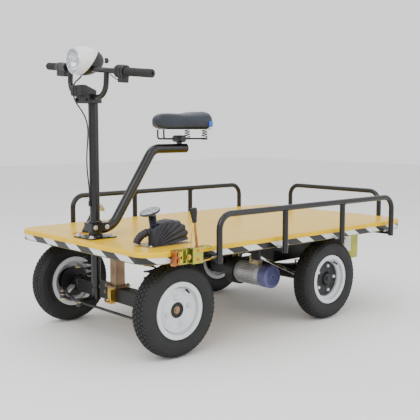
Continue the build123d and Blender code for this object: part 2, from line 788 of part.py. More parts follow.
def make_knuckle(side):
    """Kingpin, boss, stub axle, brake plate and steering arm of one front wheel."""
    x = side * KINGPIN_X
    y = FRONT_AXLE_Y
    half_boss = BOSS_HEIGHT / 2
    knuckle = upright(x, y, TYRE_RADIUS - half_boss, TYRE_RADIUS + half_boss, EAR_RADIUS + 2)
    reach = half_boss + EAR_THICKNESS + 5
    knuckle += upright(x, y, TYRE_RADIUS - reach, TYRE_RADIUS + reach, KINGPIN_RADIUS)
    stub_end = side * (WHEEL_X + FRONT_DISC_OFFSET - FRONT_HUB_RECESS - 6)
    knuckle += rod((x, y, TYRE_RADIUS), (stub_end, y, TYRE_RADIUS), STUB_RADIUS)
    plate_x = side * (WHEEL_X - BRAKE_PLATE_INSET)
    plate_end = plate_x + side * BRAKE_PLATE_THICKNESS
    knuckle += rod((plate_x, y, TYRE_RADIUS), (plate_end, y, TYRE_RADIUS), BRAKE_PLATE_RADIUS)
    half = ARM_WIDTH / 2
    profile = Plane.YZ * make_face(
        Polyline(
            (y, ARM_TOP),
            (y - ARM_DROP_START, ARM_TOP),
            (y - ARM_DROP_END, ARM_TIP_TOP),
            (STEER_BALL_Y, ARM_TIP_TOP),
            (STEER_BALL_Y, ARM_TIP_BOTTOM),
            (y - ARM_DROP_END + ARM_MITRE, ARM_TIP_BOTTOM),
            (y - ARM_DROP_START + ARM_MITRE, ARM_TOP - ARM_THICKNESS),
            (y, ARM_TOP - ARM_THICKNESS),
            close=True,
        )
    )
    knuckle += Pos(x - half, 0, 0) * extrude(profile, ARM_WIDTH)
    knuckle += upright(x, STEER_BALL_Y, ARM_TIP_BOTTOM, ARM_TIP_TOP, half + 2)
    knuckle += upright(x, STEER_BALL_Y, TIE_EYE_BOTTOM - PIN_OVERRUN, ARM_TIP_BOTTOM, PIN_RADIUS)
    knuckle += upright(x, STEER_BALL_Y, TIE_EYE_TOP + SEAT_GAP, ARM_TIP_BOTTOM, PIN_RADIUS + BALL_BOOT)
    if side < 0:
        knuckle += upright(x, STEER_BALL_Y, ARM_TIP_TOP, DRAG_EYE_TOP + PIN_OVERRUN, PIN_RADIUS)
        knuckle += upright(x, STEER_BALL_Y, ARM_TIP_TOP, DRAG_EYE_BOTTOM - SEAT_GAP, PIN_RADIUS + BALL_BOOT)
    return knuckle


def make_link(start, end, low):
    """A round rod with a flat eye at each end, both drilled for the pins."""
    middle = low + EYE_THICKNESS / 2
    link = rod((*start, middle), (*end, middle), LINK_RADIUS)
    for point in (start, end):
        link += upright(*point, low, low + EYE_THICKNESS, EYE_RADIUS)
    for point in (start, end):
        link -= upright(*point, low - 5, low + EYE_THICKNESS + 5, PIN_RADIUS + RUNNING_GAP)
    return link


# Column and handlebar
def make_column_base():
    """Base plate and sleeve on the deck, with the shaft's housing below it."""
    half = BASE_PLATE / 2
    base = block(-half, half, COLUMN_Y - half, COLUMN_Y + half, DECK_TOP, DECK_TOP + BASE_THICKNESS)
    base += upright(0, COLUMN_Y, DECK_TOP, SLEEVE_TOP, SLEEVE_RADIUS)
    base += upright(0, COLUMN_Y, HOUSING_BOTTOM, DECK_TOP + 1, HOUSING_RADIUS)
    return base - upright(0, COLUMN_Y, HOUSING_BOTTOM - 1, SLEEVE_TOP + 1, SHAFT_RADIUS + RUNNING_GAP)


def make_seat_collar():
    """The block clamped round the sleeve that carries the seat tube on its rear face."""
    half = COLLAR_WIDTH / 2
    front = COLUMN_Y - SLEEVE_RADIUS - COLLAR_WALL
    rear = COLUMN_Y + COLLAR_REACH
    top = COLLAR_BOTTOM + COLLAR_HEIGHT
    collar = block(-half, half, front, rear, COLLAR_BOTTOM, top)
    collar = fillet(collar.edges().filter_by(Axis.Z), 6)
    collar -= upright(0, COLUMN_Y, COLLAR_BOTTOM - 1, top + 1, SLEEVE_RADIUS + SEAT_GAP)
    seat = rod((0, COLUMN_Y, SEAT_TUBE_LOW), (0, rear + 1, SEAT_TUBE_LOW), SEAT_TUBE_RADIUS + COLLAR_ROOM)
    return collar - seat


def make_column():
    """The column tube, the shaft through the deck, the drop arm at its foot and the cable's gland."""
    column = upright(0, COLUMN_Y, SLEEVE_TOP + 1, COLUMN_TOP, COLUMN_RADIUS)
    column -= upright(0, COLUMN_Y, SLEEVE_TOP + 30, COLUMN_TOP + 1, COLUMN_RADIUS - COLUMN_WALL)
    column += upright(0, COLUMN_Y, PITMAN_BOTTOM, SLEEVE_TOP + 2, SHAFT_RADIUS)
    column += upright(0, COLUMN_Y, PITMAN_BOTTOM, SHAFT_BOSS_TOP, SHAFT_RADIUS + 5)
    half = ARM_WIDTH / 2
    top = PITMAN_BOTTOM + ARM_THICKNESS
    column += block(-half, half, PITMAN_BALL_Y, COLUMN_Y, PITMAN_BOTTOM, top)
    column += upright(0, PITMAN_BALL_Y, PITMAN_BOTTOM, top, half + 2)
    column += upright(0, PITMAN_BALL_Y, DRAG_EYE_BOTTOM - PIN_OVERRUN, PITMAN_BOTTOM, PIN_RADIUS)
    column += upright(0, PITMAN_BALL_Y, DRAG_EYE_TOP + SEAT_GAP, PITMAN_BOTTOM, PIN_RADIUS + BALL_BOOT)
    x, y, z = CABLES[0][2][-1]
    gland = upright(x, y, z - SEAT_GAP - GLAND_LENGTH, z - SEAT_GAP, GLAND_RADIUS)
    core = upright(0, COLUMN_Y, z - 2 * GLAND_LENGTH, z + GLAND_LENGTH, COLUMN_RADIUS - COLUMN_WALL / 2)
    return column + (gland - core)


def along_bar(side, start, length):
    """Two points on a grip's straight, measured in from the bar's end."""
    end = Vector(side * BAR_LENGTH / 2, BAR_Y + BAR_SWEEP, BAR_HEIGHT)
    knee = Vector(side * LOOP_WIDTH / 2, BAR_Y, BAR_HEIGHT)
    way = (knee - end).normalized()
    first = end + way * start
    last = first + way * length
    return (first.X, first.Y, first.Z), (last.X, last.Y, last.Z)


def bar_seat():
    """The space that the clamp leaves for the loop's straight middle."""
    half = CLAMP_WIDTH
    return BAR_LEAN * rod((-half, BAR_Y, LOOP_HEIGHT), (half, BAR_Y, LOOP_HEIGHT), BAR_RADIUS + SEAT_GAP)


def make_clamp():
    """The block on the column's top that holds the handlebar's loop from below."""
    half = CLAMP_WIDTH / 2
    clamp = block(-half, half, COLUMN_Y - CLAMP_FRONT, COLUMN_Y + CLAMP_REAR, COLUMN_TOP, LOOP_HEIGHT)
    clamp = chamfer(clamp.edges().filter_by(Axis.Z), CLAMP_CORNER)
    return clamp - bar_seat()


def make_console():
    """The wedge-shaped cover above the clamp, higher at the front."""
    front = COLUMN_Y - CONSOLE_FRONT
    rear = COLUMN_Y
    half = CONSOLE_WIDTH / 2
    console = side_plate(
        [
            (front, LOOP_HEIGHT),
            (front, CONSOLE_FRONT_TOP - 6),
            (front + 8, CONSOLE_FRONT_TOP),
            (front + CONSOLE_FLAT, CONSOLE_FRONT_TOP),
            (rear, CONSOLE_REAR_TOP),
            (rear, LOOP_HEIGHT),
        ],
        -half,
        half,
    )
    console = chamfer(console.edges().filter_by(Axis.Z), CONSOLE_CORNER)
    return console - bar_seat()


def make_bar():
    """The handlebar: a swept main bar on top of a U-shaped loop."""
    half = LOOP_WIDTH / 2
    end = BAR_LENGTH / 2
    line = [
        (-end, BAR_Y + BAR_SWEEP, BAR_HEIGHT),
        (-half, BAR_Y, BAR_HEIGHT),
        (half, BAR_Y, BAR_HEIGHT),
        (end, BAR_Y + BAR_SWEEP, BAR_HEIGHT),
    ]
    main = bent_tube(line, KNEE_BEND, BAR_RADIUS, BAR_WALL)
    loop = bent_tube(
        [
            (-half, BAR_Y, BAR_HEIGHT),
            (-half, BAR_Y, LOOP_HEIGHT),
            (half, BAR_Y, LOOP_HEIGHT),
            (half, BAR_Y, BAR_HEIGHT),
        ],
        LOOP_BEND,
        BAR_RADIUS,
    )
    return BAR_LEAN * (main + (loop - bent_tube(line, KNEE_BEND, BAR_RADIUS - BAR_WALL)))


def make_grips():
    """A rubber grip over each end of the handlebar."""
    grips = []
    for side, length, *housing in HANDS:
        outer, inner = along_bar(side, -GRIP_OVERHANG, length + GRIP_OVERHANG)
        seat, stop = along_bar(side, 0, length + 1)
        grips.append(BAR_LEAN * (rod(outer, inner, GRIP_RADIUS) - rod(seat, stop, BAR_RADIUS + SEAT_GAP)))
    return grips


def make_perches():
    """The throttle and switch housings inboard of the grips: a sleeve round the bar with a pod below."""
    perches = []
    half = POD_THICKNESS / 2
    for side, grip_length, length, radius, pod_start, pod_length, drop in HANDS:
        start = grip_length + SEAT_GAP
        outer, inner = along_bar(side, start, length)
        (x0, y, z), (x1, far_y, far_z) = along_bar(side, start + pod_start, pod_length)
        low, high = sorted((x0, x1))
        pod = block(low, high, y - half, y + half, z - drop, z)
        pod = fillet(pod.edges().filter_by(Axis.Y), 6)
        seat, stop = along_bar(side, start - 10, length + 20)
        housing = rod(outer, inner, radius) + pod - rod(seat, stop, BAR_RADIUS + SEAT_GAP)
        perches.append(BAR_LEAN * housing)
    return perches


def lamp_place():
    """The lamp's own axes: its face is at Y = 0 and its axis runs back along +Y."""
    return Pos(0, COLUMN_Y - LAMP_FACE_FORWARD, LAMP_CENTRE) * Rot(LAMP_TILT, 0, 0)


def make_lamp():
    """The headlamp: a white shell with a reflector bowl, a dark foot round the bar and a lens."""
    half_face = make_face(
        [
            Line((0, 0), (LAMP_RADIUS, 0)),
            Line((LAMP_RADIUS, 0), (LAMP_RADIUS, LAMP_RIM)),
            ThreePointArc((LAMP_RADIUS, LAMP_RIM), (LAMP_BELLY, LAMP_BELLY_BACK), (LAMP_TAIL, LAMP_LENGTH)),
            Line((LAMP_TAIL, LAMP_LENGTH), (0, LAMP_LENGTH)),
            Line((0, LAMP_LENGTH), (0, 0)),
        ]
    )
    body = revolve(half_face, Axis.Y)
    bowl_face = make_face(
        Polyline(
            (0, -1),
            (BOWL_RADIUS, -1),
            (BOWL_RADIUS, LENS_THICKNESS + 1),
            *((BOWL_RADIUS * share, BOWL_DEPTH * depth) for share, depth in BOWL_CURVE),
            close=True,
        )
    )
    body -= revolve(bowl_face, Axis.Y)
    first, bend, knee, end = LAMP_SPLIT
    below = -2 * LAMP_BELLY
    under_face = Plane.YZ * make_face(
        [
            ThreePointArc(first, bend, knee),
            Line(knee, end),
            Line(end, (end[0], below)),
            Line((end[0], below), (first[0], below)),
            Line((first[0], below), first),
        ]
    )
    under = Pos(-2 * LAMP_BELLY, 0, 0) * extrude(under_face, 4 * LAMP_BELLY)
    shell = lamp_place() * (body - under)
    half = BAR_LENGTH / 2
    passage = BAR_LEAN * rod((-half, BAR_Y, BAR_HEIGHT), (half, BAR_Y, BAR_HEIGHT), BAR_RADIUS + SEAT_GAP)
    foot = lamp_place() * (body & under) - passage
    lens = rod((0, 0, 0), (0, LENS_THICKNESS, 0), BOWL_RADIUS - SEAT_GAP)
    return shell, foot, lamp_place() * lens


def make_key():
    """The ignition key behind the lamp: a barrel and a flat head."""
    back = LAMP_LENGTH + SEAT_GAP
    key = rod((0, back, 0), (0, back + KEY_REACH / 2, 0), KEY_RADIUS)
    half = KEY_HEAD_WIDTH / 2
    head = block(-half, half, back + KEY_REACH / 2 - 2, back + KEY_REACH, *KEY_HEAD)
    key += fillet(head.edges().filter_by(Axis.X), 6)
    return lamp_place() * key


def make_cables():
    """The cables held along the handlebar and the column."""
    return [bent_tube(points, easy_bends(points), radius) for name, radius, points in CABLES]


# Seat
def seat_line():
    """The corners of the seat tube's middle line."""
    knee = COLUMN_Y + SEAT_KNEE
    return [
        (0, COLUMN_Y + SLEEVE_RADIUS + SEAT_GAP, SEAT_TUBE_LOW),
        (0, knee, SEAT_TUBE_LOW),
        (0, knee + SEAT_RISE_RUN, SEAT_TUBE_HIGH),
        (0, COLUMN_Y + SEAT_REACH, SEAT_TUBE_HIGH),
    ]


def make_seat_tube():
    """The bent tube from the collar up to the saddle's pin, open at its rear end."""
    return bent_tube(seat_line(), SEAT_BENDS, SEAT_TUBE_RADIUS, SEAT_TUBE_WALL)


def make_saddle():
    """The saddle: a narrow nose, a broad tail and a top that dips between them."""
    nose, tail = SADDLE_NOSE_Y, SADDLE_TAIL_Y
    tip = SADDLE_NOSE / 2
    wide = SADDLE_WIDTH / 2
    waist = nose + SADDLE_LENGTH * 0.42
    broad = tail - SADDLE_LENGTH * 0.25
    bulge = (wide * 0.66, (waist + broad) / 2 - 6)
    plan = make_face(
        [
            ThreePointArc((-tip, nose + tip), (0, nose), (tip, nose + tip)),
            Line((tip, nose + tip), (tip + 10, waist)),
            ThreePointArc((tip + 10, waist), bulge, (wide, broad)),
            ThreePointArc((wide, broad), (0, tail), (-wide, broad)),
            ThreePointArc((-wide, broad), (-bulge[0], bulge[1]), (-tip - 10, waist)),
            Line((-tip - 10, waist), (-tip, nose + tip)),
        ]
    )
    body = Pos(0, 0, SADDLE_BASE) * extrude(plan, SADDLE_TAIL_TOP + 10)
    side = Plane.YZ * make_face(
        [
            Line((nose - 5, SADDLE_BASE - 1), (nose - 5, SADDLE_BASE + SADDLE_NOSE_TOP)),
            ThreePointArc(
                (nose - 5, SADDLE_BASE + SADDLE_NOSE_TOP),
                (nose + SADDLE_LENGTH * 0.45, SADDLE_BASE + SADDLE_MIDDLE_TOP),
                (tail + 5, SADDLE_BASE + SADDLE_TAIL_TOP),
            ),
            Line((tail + 5, SADDLE_BASE + SADDLE_TAIL_TOP), (tail + 5, SADDLE_BASE - 1)),
            Line((tail + 5, SADDLE_BASE - 1), (nose - 5, SADDLE_BASE - 1)),
        ]
    )
    body &= Pos(-SADDLE_WIDTH, 0, 0) * extrude(side, 2 * SADDLE_WIDTH)
    return fillet(body.faces().sort_by(Axis.Z)[-1].edges(), SADDLE_EDGE)


def saddle_heights():
    """The seat tube's top, the wire rails' height and the saddle's underside."""
    low = SEAT_TUBE_HIGH + SEAT_TUBE_RADIUS
    top = SADDLE_BASE - SEAT_GAP
    return low, low + (top - low) * SADDLE_RAIL_SHARE, top


def make_saddle_frame():
    """The pin on the seat tube, its clamp, two wire rails and two cups for the springs."""
    half = SEAT_CLAMP_WIDTH / 2
    low, rail_z, top = saddle_heights()
    spring_y = SADDLE_TAIL_Y - SADDLE_SPRING_INSET
    front_y = SADDLE_NOSE_Y + SADDLE_RAIL_INSET
    frame = upright(0, SEAT_PIN_Y, low + SEAT_GAP, rail_z + half / 2, SEAT_PIN_RADIUS)
    frame += rod((-half, SEAT_PIN_Y, rail_z), (half, SEAT_PIN_Y, rail_z), half / 2)
    for side in (1, -1):
        x = side * SADDLE_RAIL_SPACING / 2
        out = side * SADDLE_SPRING_SPACING / 2
        frame += bent_tube(
            [
                (x, front_y, top),
                (x, front_y, rail_z),
                (x, spring_y - SADDLE_RAIL_INSET, rail_z),
                (out, spring_y, rail_z),
            ],
            [12, 20],
            RAIL_ROD_RADIUS,
        )
        cup = RAIL_ROD_RADIUS + 1
        frame += upright(out, spring_y, rail_z - cup, rail_z + cup, SADDLE_SPRING_RADIUS)
    return frame


def make_saddle_springs():
    """The two coil springs between the wire rails and the saddle's tail."""
    low, rail_z, top = saddle_heights()
    wire = SADDLE_SPRING_WIRE / 2
    foot = rail_z + RAIL_ROD_RADIUS + 1 + SEAT_GAP + wire
    height = top - SEAT_GAP - wire - foot
    springs = []
    for side in (1, -1):
        coil = Helix(pitch=height / 3, height=height, radius=SADDLE_SPRING_RADIUS - wire)
        spring = sweep((coil ^ 0) * Circle(wire), path=coil, is_frenet=True)
        place = Pos(side * SADDLE_SPRING_SPACING / 2, SADDLE_TAIL_Y - SADDLE_SPRING_INSET, foot)
        springs.append(place * spring)
    return springs


# Pedals and hand lever
def make_near_boot():
    """The left pedal's rubber boot: pleats that fan out from its front foot, a stalk and a curved hose."""
    y0 = FRONT_Y + NEAR_BOOT_SETBACK
    z0 = DECK_TOP + NEAR_FLANGE
    inner = NEAR_BOOT_X - NEAR_BOOT_WIDTH

    def spot(angle, reach):
        """A point of the side view, by its angle above the deck and its distance from the foot."""
        turn = math.radians(angle)
        return (y0 + reach * math.cos(turn), z0 + reach * math.sin(turn))

    side = [(y0, z0), (y0 + PLEATS[0][1] - PLEAT_DEPTH, z0)]
    for (angle, reach), (following, shorter) in zip(PLEATS, PLEATS[1:] + PLEATS[-1:]):
        side += [spot(angle - PLEAT_SPREAD, reach), spot(angle + PLEAT_SPREAD, reach)]
        side.append(spot((angle + following) / 2 + PLEAT_SPREAD / 4, shorter - PLEAT_DEPTH))
    side[-1] = (y0, z0 + PLEATS[-1][1] - PLEAT_DEPTH)
    boot = side_plate(side, inner, NEAR_BOOT_X)
    tail = y0 + PLEATS[1][1] + PLEAT_DEPTH
    front = NEAR_BOOT_X - NEAR_BOOT_TIP
    plan = make_face(
        Polyline((front, y0 - 1), (NEAR_BOOT_X, y0 - 1), (NEAR_BOOT_X, tail), (inner, tail), close=True)
    )
    boot &= Pos(0, 0, z0) * extrude(plan, NEAR_BOOT_WIDTH)
    return boot + make_stalk() + make_horn()


def stalk_line():
    """The foot and top of the stalk that carries the near pad."""
    x = NEAR_BOOT_X - NEAR_BOOT_TIP / 2 - STALK_INSET
    y = FRONT_Y + NEAR_BOOT_SETBACK + STALK_BACK
    return (x, y, DECK_TOP + STALK_FOOT), (x, y - STALK_LEAN, DECK_TOP + STALK_TOP)


def make_stalk():
    """The ribbed stalk between the boot and the near pad."""
    foot, top = stalk_line()
    above = (top[0], top[1] - 1, top[2] + 6)
    room = upright(top[0], top[1], DECK_TOP, top[2], NEAR_BOOT_WIDTH)
    return bellows(foot, above, STALK_RADIUS + 3, STALK_RADIUS - 2, 5, 3) & room


def make_horn():
    """The hose that curves forward and down from the boot's front to the deck."""
    y0 = FRONT_Y + NEAR_BOOT_SETBACK
    points = [(NEAR_BOOT_X + out, y0 + back, DECK_TOP + up) for out, back, up in HORN_LINE]
    path = FilletPolyline(*points, radius=easy_bends(points))
    return sweep((path ^ 0) * Circle(STALK_RADIUS - 1), path=path)


def make_near_flange():
    """The thin base plate under the near boot."""
    y0 = FRONT_Y + NEAR_BOOT_SETBACK
    inner = NEAR_BOOT_X - NEAR_BOOT_WIDTH
    tail = y0 + PLEATS[0][1] + 5
    return block(inner + 8, NEAR_BOOT_X + 3, y0 - FLANGE_FRONT, tail, DECK_TOP, DECK_TOP + NEAR_FLANGE)


def make_near_pad():
    """The round pad on the near stalk, tilted to the front."""
    foot, top = stalk_line()
    tilt = Rot(PAD_TILT, 0, 0)
    gap = SEAT_GAP + (STALK_RADIUS - 2) * math.sin(math.radians(PAD_TILT))
    disc = Pos(0, 0, PAD_THICKNESS / 2) * Cylinder(PAD_RADIUS, PAD_THICKNESS)
    disc = fillet(disc.faces().sort_by(Axis.Z)[-1].edges(), PAD_THICKNESS * 0.45)
    pad = Pos(*top) * Pos(0, 0, gap) * tilt * disc
    pin = upright(top[0], top[1], top[2] + SEAT_GAP, top[2] + gap + PAD_THICKNESS / 2, PAD_PIN_RADIUS)
    return pad + pin


def make_far_boot():
    """The right pedal's leaning bellows."""
    y = FRONT_Y + FAR_BOOT_SETBACK
    low = DECK_TOP + NEAR_FLANGE
    foot = Vector(FAR_BOOT_X, y, low)
    top = Vector(*far_arm_line()[0])
    start = foot - (top - foot).normalized() * FAR_BOOT_RADIUS / 2
    flange = upright(FAR_BOOT_X, y, DECK_TOP, low, FAR_BOOT_RADIUS + 3)
    leaned = bellows(tuple(start), tuple(top), FAR_BOOT_RADIUS, FAR_BOOT_TOP, 6, 5)
    room = upright(FAR_BOOT_X, y, low, low + NEAR_BOOT_WIDTH, NEAR_BOOT_WIDTH)
    return flange + (leaned & room) - far_arm(FAR_ARM_RADIUS + SEAT_GAP)


def far_arm_line():
    """Where the right pedal's arm leaves its bellows and where it meets the plate."""
    foot = Vector(FAR_BOOT_X, FRONT_Y + FAR_BOOT_SETBACK, DECK_TOP)
    start = foot + Vector(*FAR_ARM_START)
    return tuple(start), tuple(start + Vector(*FAR_ARM_RUN))


def far_arm(radius):
    """The right pedal's arm, from inside the bellows up to the plate."""
    start, end = (Vector(*point) for point in far_arm_line())
    inside = start - (end - start).normalized() * FAR_ARM_SOCKET
    return rod(tuple(inside), tuple(end), radius)


def make_pedal_plate():
    """The right pedal: its arm and its flat plate, tilted towards the driver."""
    plate = fillet(Box(FAR_PLATE_SIZE, FAR_PLATE_SHEET, FAR_PLATE_DEPTH).edges().filter_by(Axis.Y), 8)
    return Pos(*far_arm_line()[1]) * Rot(FAR_PLATE_TILT, 0, 0) * plate + far_arm(FAR_ARM_RADIUS)


def make_lever_bracket():
    """The bracket on the deck's side that holds the hand lever, with a wire ring behind it."""
    x0 = DECK_WIDTH / 2 + SEAT_GAP
    x1 = x0 + BRACKET_OUTREACH
    rear = FRONT_Y + LEVER_SETBACK + BRACKET_SHEET * 6
    front = rear - BRACKET_LENGTH
    low = BRACKET_TOP - BRACKET_DEPTH
    third = BRACKET_LENGTH / 3
    bracket = block(x0, x0 + BRACKET_SHEET, front, rear, low, BRACKET_TOP)
    bracket += block(x0, x1, rear - third * 1.1, rear, low, low + BRACKET_SHEET)
    bracket += block(x1 - BRACKET_SHEET, x1, rear - third * 1.1, rear, low, BRACKET_TOP)
    bracket += block(x0, x1, rear - third, rear - 4, BRACKET_TOP - BRACKET_SHEET, BRACKET_TOP)
    for step in range(4):
        y = front + step * third / 2.4
        bracket += block(x0, x1 - 6, y, y + BRACKET_SHEET, low + 4, BRACKET_TOP - 3)
    bracket += block(x0, x1 - 6, front, front + third * 1.3, low + 4, low + 4 + BRACKET_SHEET)
    ring_y = rear + RING_RADIUS - RING_WIRE / 2
    ring = Pos((x0 + x1) / 2, ring_y, DECK_TOP + RING_WIRE + SEAT_GAP) * Torus(RING_RADIUS, RING_WIRE)
    return bracket + (ring - block(x0 - 50, x1 + 50, front, rear - 1, low, BRACKET_TOP + 9))


def lever_points():
    """The foot, the grip's foot and the top of the hand lever."""
    y = FRONT_Y + LEVER_SETBACK
    share = (LEVER_GRIP_BASE - LEVER_BASE) / (LEVER_TOP - LEVER_BASE)
    return (
        (LEVER_X, y, LEVER_BASE),
        (LEVER_X, y - LEVER_LEAN * share, LEVER_GRIP_BASE),
        (LEVER_X, y - LEVER_LEAN, LEVER_TOP),
    )


def make_lever():
    """The hand lever's rod."""
    foot, middle, top = lever_points()
    x, y, z = foot
    lever = rod(foot, middle, LEVER_RADIUS)
    return lever + upright(x, y, BRACKET_TOP, LEVER_BASE + 4, LEVER_RADIUS + LEVER_FERRULE)


def make_lever_grip():
    """The tapered rubber grip, wider at its top."""
    foot, middle, top = (Vector(*point) for point in lever_points())
    length = (top - middle).length
    side = [(radius, length * share) for radius, share in LEVER_GRIP]
    half = Plane.XZ * make_face(Polyline((0, 0), *side, (0, length), close=True))
    start = middle + (top - middle).normalized() * SEAT_GAP
    return Plane(origin=start, z_dir=top - middle) * revolve(half, Axis.Z)


# Drive
def make_rear_axle():
    """Axle tube, differential housing, gear case up to the motor and the radius rods' lugs."""
    end = WHEEL_X + REAR_DISC_OFFSET - RIM_SHEET - DRUM_LENGTH - 6
    shaft = WHEEL_X + REAR_DISC_OFFSET
    axle = rod((-end, REAR_AXLE_Y, TYRE_RADIUS), (end, REAR_AXLE_Y, TYRE_RADIUS), AXLE_TUBE_RADIUS)
    axle += rod((-shaft, REAR_AXLE_Y, TYRE_RADIUS), (shaft, REAR_AXLE_Y, TYRE_RADIUS), REAR_SHAFT_RADIUS)
    x1 = MOTOR_FOOT
    x0 = x1 - GEAR_CASE_WIDTH
    axle += rod((x0, MOTOR_Y, TYRE_RADIUS), (x1, MOTOR_Y, TYRE_RADIUS), GEAR_CASE_RADIUS)
    axle += rod((x0, REAR_AXLE_Y, TYRE_RADIUS), (x1, REAR_AXLE_Y, TYRE_RADIUS), DIFF_RADIUS)
    half = GEAR_CASE_RADIUS - 8
    axle += block(x0, x1, MOTOR_Y, REAR_AXLE_Y, TYRE_RADIUS - half, TYRE_RADIUS + half)
    wide = RADIUS_ROD_LUG / 2
    for x in (-RADIUS_ROD_X, RADIUS_ROD_X):
        front = REAR_AXLE_Y - AXLE_TUBE_RADIUS - RADIUS_ROD_LUG / 2
        axle += block(x - wide, x + wide, front, REAR_AXLE_Y, TYRE_RADIUS - 10, TYRE_RADIUS + 10)
    return axle


def make_radius_rods():
    """The rods that hold the rear axle against the pull of the wheels."""
    rods = []
    low = TYRE_RADIUS
    y0 = REAR_AXLE_Y - RADIUS_ROD_AHEAD
    y1 = REAR_AXLE_Y - AXLE_TUBE_RADIUS - RADIUS_ROD_LUG / 2
    for x in (-RADIUS_ROD_X, RADIUS_ROD_X):
        bar = rod((x, y0, RADIUS_ROD_HIGH), (x, y1, low), RADIUS_ROD_RADIUS)
        room = block(x - 40, x + 40, y0 + SEAT_GAP, y1 - SEAT_GAP, 0, DECK_UNDER)
        rods.append(bar & room)
    return rods


def make_motor():
    """The finned motor body and the fan cover at its free end."""
    body_end = MOTOR_END - FAN_COVER_LENGTH
    flange_end = MOTOR_FOOT + MOTOR_FLANGE
    body = rod((MOTOR_FOOT, MOTOR_Y, TYRE_RADIUS), (body_end, MOTOR_Y, TYRE_RADIUS), MOTOR_CORE_RADIUS)
    half = MOTOR_FIN_WIDTH / 2
    fin = block(flange_end, body_end - 4, -half, half, MOTOR_CORE_RADIUS - 2, MOTOR_RADIUS - 1)
    centre = Pos(0, MOTOR_Y, TYRE_RADIUS)
    fins = [centre * fin.rotate(Axis.X, 360 * step / MOTOR_FINS) for step in range(MOTOR_FINS)]
    body = body.fuse(*fins)
    body += rod((MOTOR_FOOT, MOTOR_Y, TYRE_RADIUS), (flange_end, MOTOR_Y, TYRE_RADIUS), MOTOR_RADIUS)
    cover = rod((body_end, MOTOR_Y, TYRE_RADIUS), (MOTOR_END, MOTOR_Y, TYRE_RADIUS), MOTOR_RADIUS)
    cover = fillet(cover.faces().sort_by(Axis.X)[-1].edges(), 6)
    return body, cover


def leaf_end_height():
    """The height of the spring's top face at its two ends."""
    rise = LEAF_RADIUS * (1 - math.cos(LEAF_HALF_LENGTH / LEAF_RADIUS))
    return TYRE_RADIUS + AXLE_TUBE_RADIUS + SEAT_GAP + LEAF_COUNT * LEAF_THICKNESS + rise


def make_leaf_springs():
    """Two packs of curved leaves, each leaf shorter than the one above it."""
    base = TYRE_RADIUS + AXLE_TUBE_RADIUS + SEAT_GAP
    centre_z = base + LEAF_COUNT * LEAF_THICKNESS + LEAF_RADIUS

    def spot(radius, turn):
        """A point of the leaf's side view, at a turn from straight below the bend's centre."""
        return (REAR_AXLE_Y + radius * math.sin(turn), centre_z - radius * math.cos(turn))

    pack = None
    for step in range(LEAF_COUNT):
        inner = LEAF_RADIUS + step * LEAF_THICKNESS
        outer = inner + LEAF_THICKNESS
        span = LEAF_HALF_LENGTH * (1 - step * LEAF_STEP) / LEAF_RADIUS
        lines = [
            ThreePointArc(spot(inner, -span), spot(inner, 0), spot(inner, span)),
            Line(spot(inner, span), spot(outer, span)),
            ThreePointArc(spot(outer, span), spot(outer, 0), spot(outer, -span)),
            Line(spot(outer, -span), spot(inner, -span)),
        ]
        leaf = extrude(Plane.YZ * make_face(lines), LEAF_WIDTH)
        pack = leaf if pack is None else pack + leaf
    inset = LEAF_WIDTH / 2
    return [Pos(x - inset, 0, 0) * pack for x in (-RUNNER_SPACING / 2, RUNNER_SPACING / 2)]


def make_battery():
    """The closed battery box slung under the deck behind the motor."""
    half = BATTERY_WIDTH / 2
    start = REAR_AXLE_Y - BATTERY_AHEAD
    top = OUTRIGGER_TOP - OUTRIGGER_DEPTH
    box = block(-half, half, start, start + BATTERY_LENGTH, top - BATTERY_DEPTH, top)
    return fillet(box.edges().filter_by(Axis.Z), BATTERY_CORNER)


def make_rear_box():
    """The zinc control box under the left runner, behind the rear wheel."""
    x1 = RUNNER_SPACING / 2 + RUNNER_WIDTH
    y0 = REAR_AXLE_Y + LEAF_HALF_LENGTH + HANGER_LENGTH / 2 + REAR_BOX_GAP
    box = block(x1 - REAR_BOX_WIDTH, x1, y0, y0 + REAR_BOX_LENGTH, REAR_BOX_BOTTOM, FRAME_UNDER)
    return fillet(box.edges().filter_by(Axis.X), REAR_BOX_CORNER)


def make_beam_strap():
    """The zinc strap folded over the front of the axle beam, below the post."""
    half = BEAM_STRAP_WIDTH / 2
    front = FRONT_AXLE_Y - BEAM_SIZE / 2
    sheet = BEAM_STRAP_SHEET
    low = BEAM_BOTTOM - BEAM_STRAP_DROP
    strap = block(-half, half, front - sheet, front, low, BEAM_TOP)
    strap += block(-half, half, front - BEAM_STRAP_REACH, front, low, low + sheet)
    strap += block(half - sheet, half, front - BEAM_STRAP_REACH, front, low, BEAM_TOP - sheet)
    return strap


def export_all():
    """Writes one STEP file for each node."""
    os.makedirs("parts", exist_ok=True)
    for name, shape in parts.items():
        solids = shape if isinstance(shape, list) else [shape]
        whole = Compound(children=[solid for item in solids for solid in item.solids()])
        if len(whole.solids()) == 1:
            whole = whole.solids()[0]
        export_step(whole, f"parts/{name}.step")


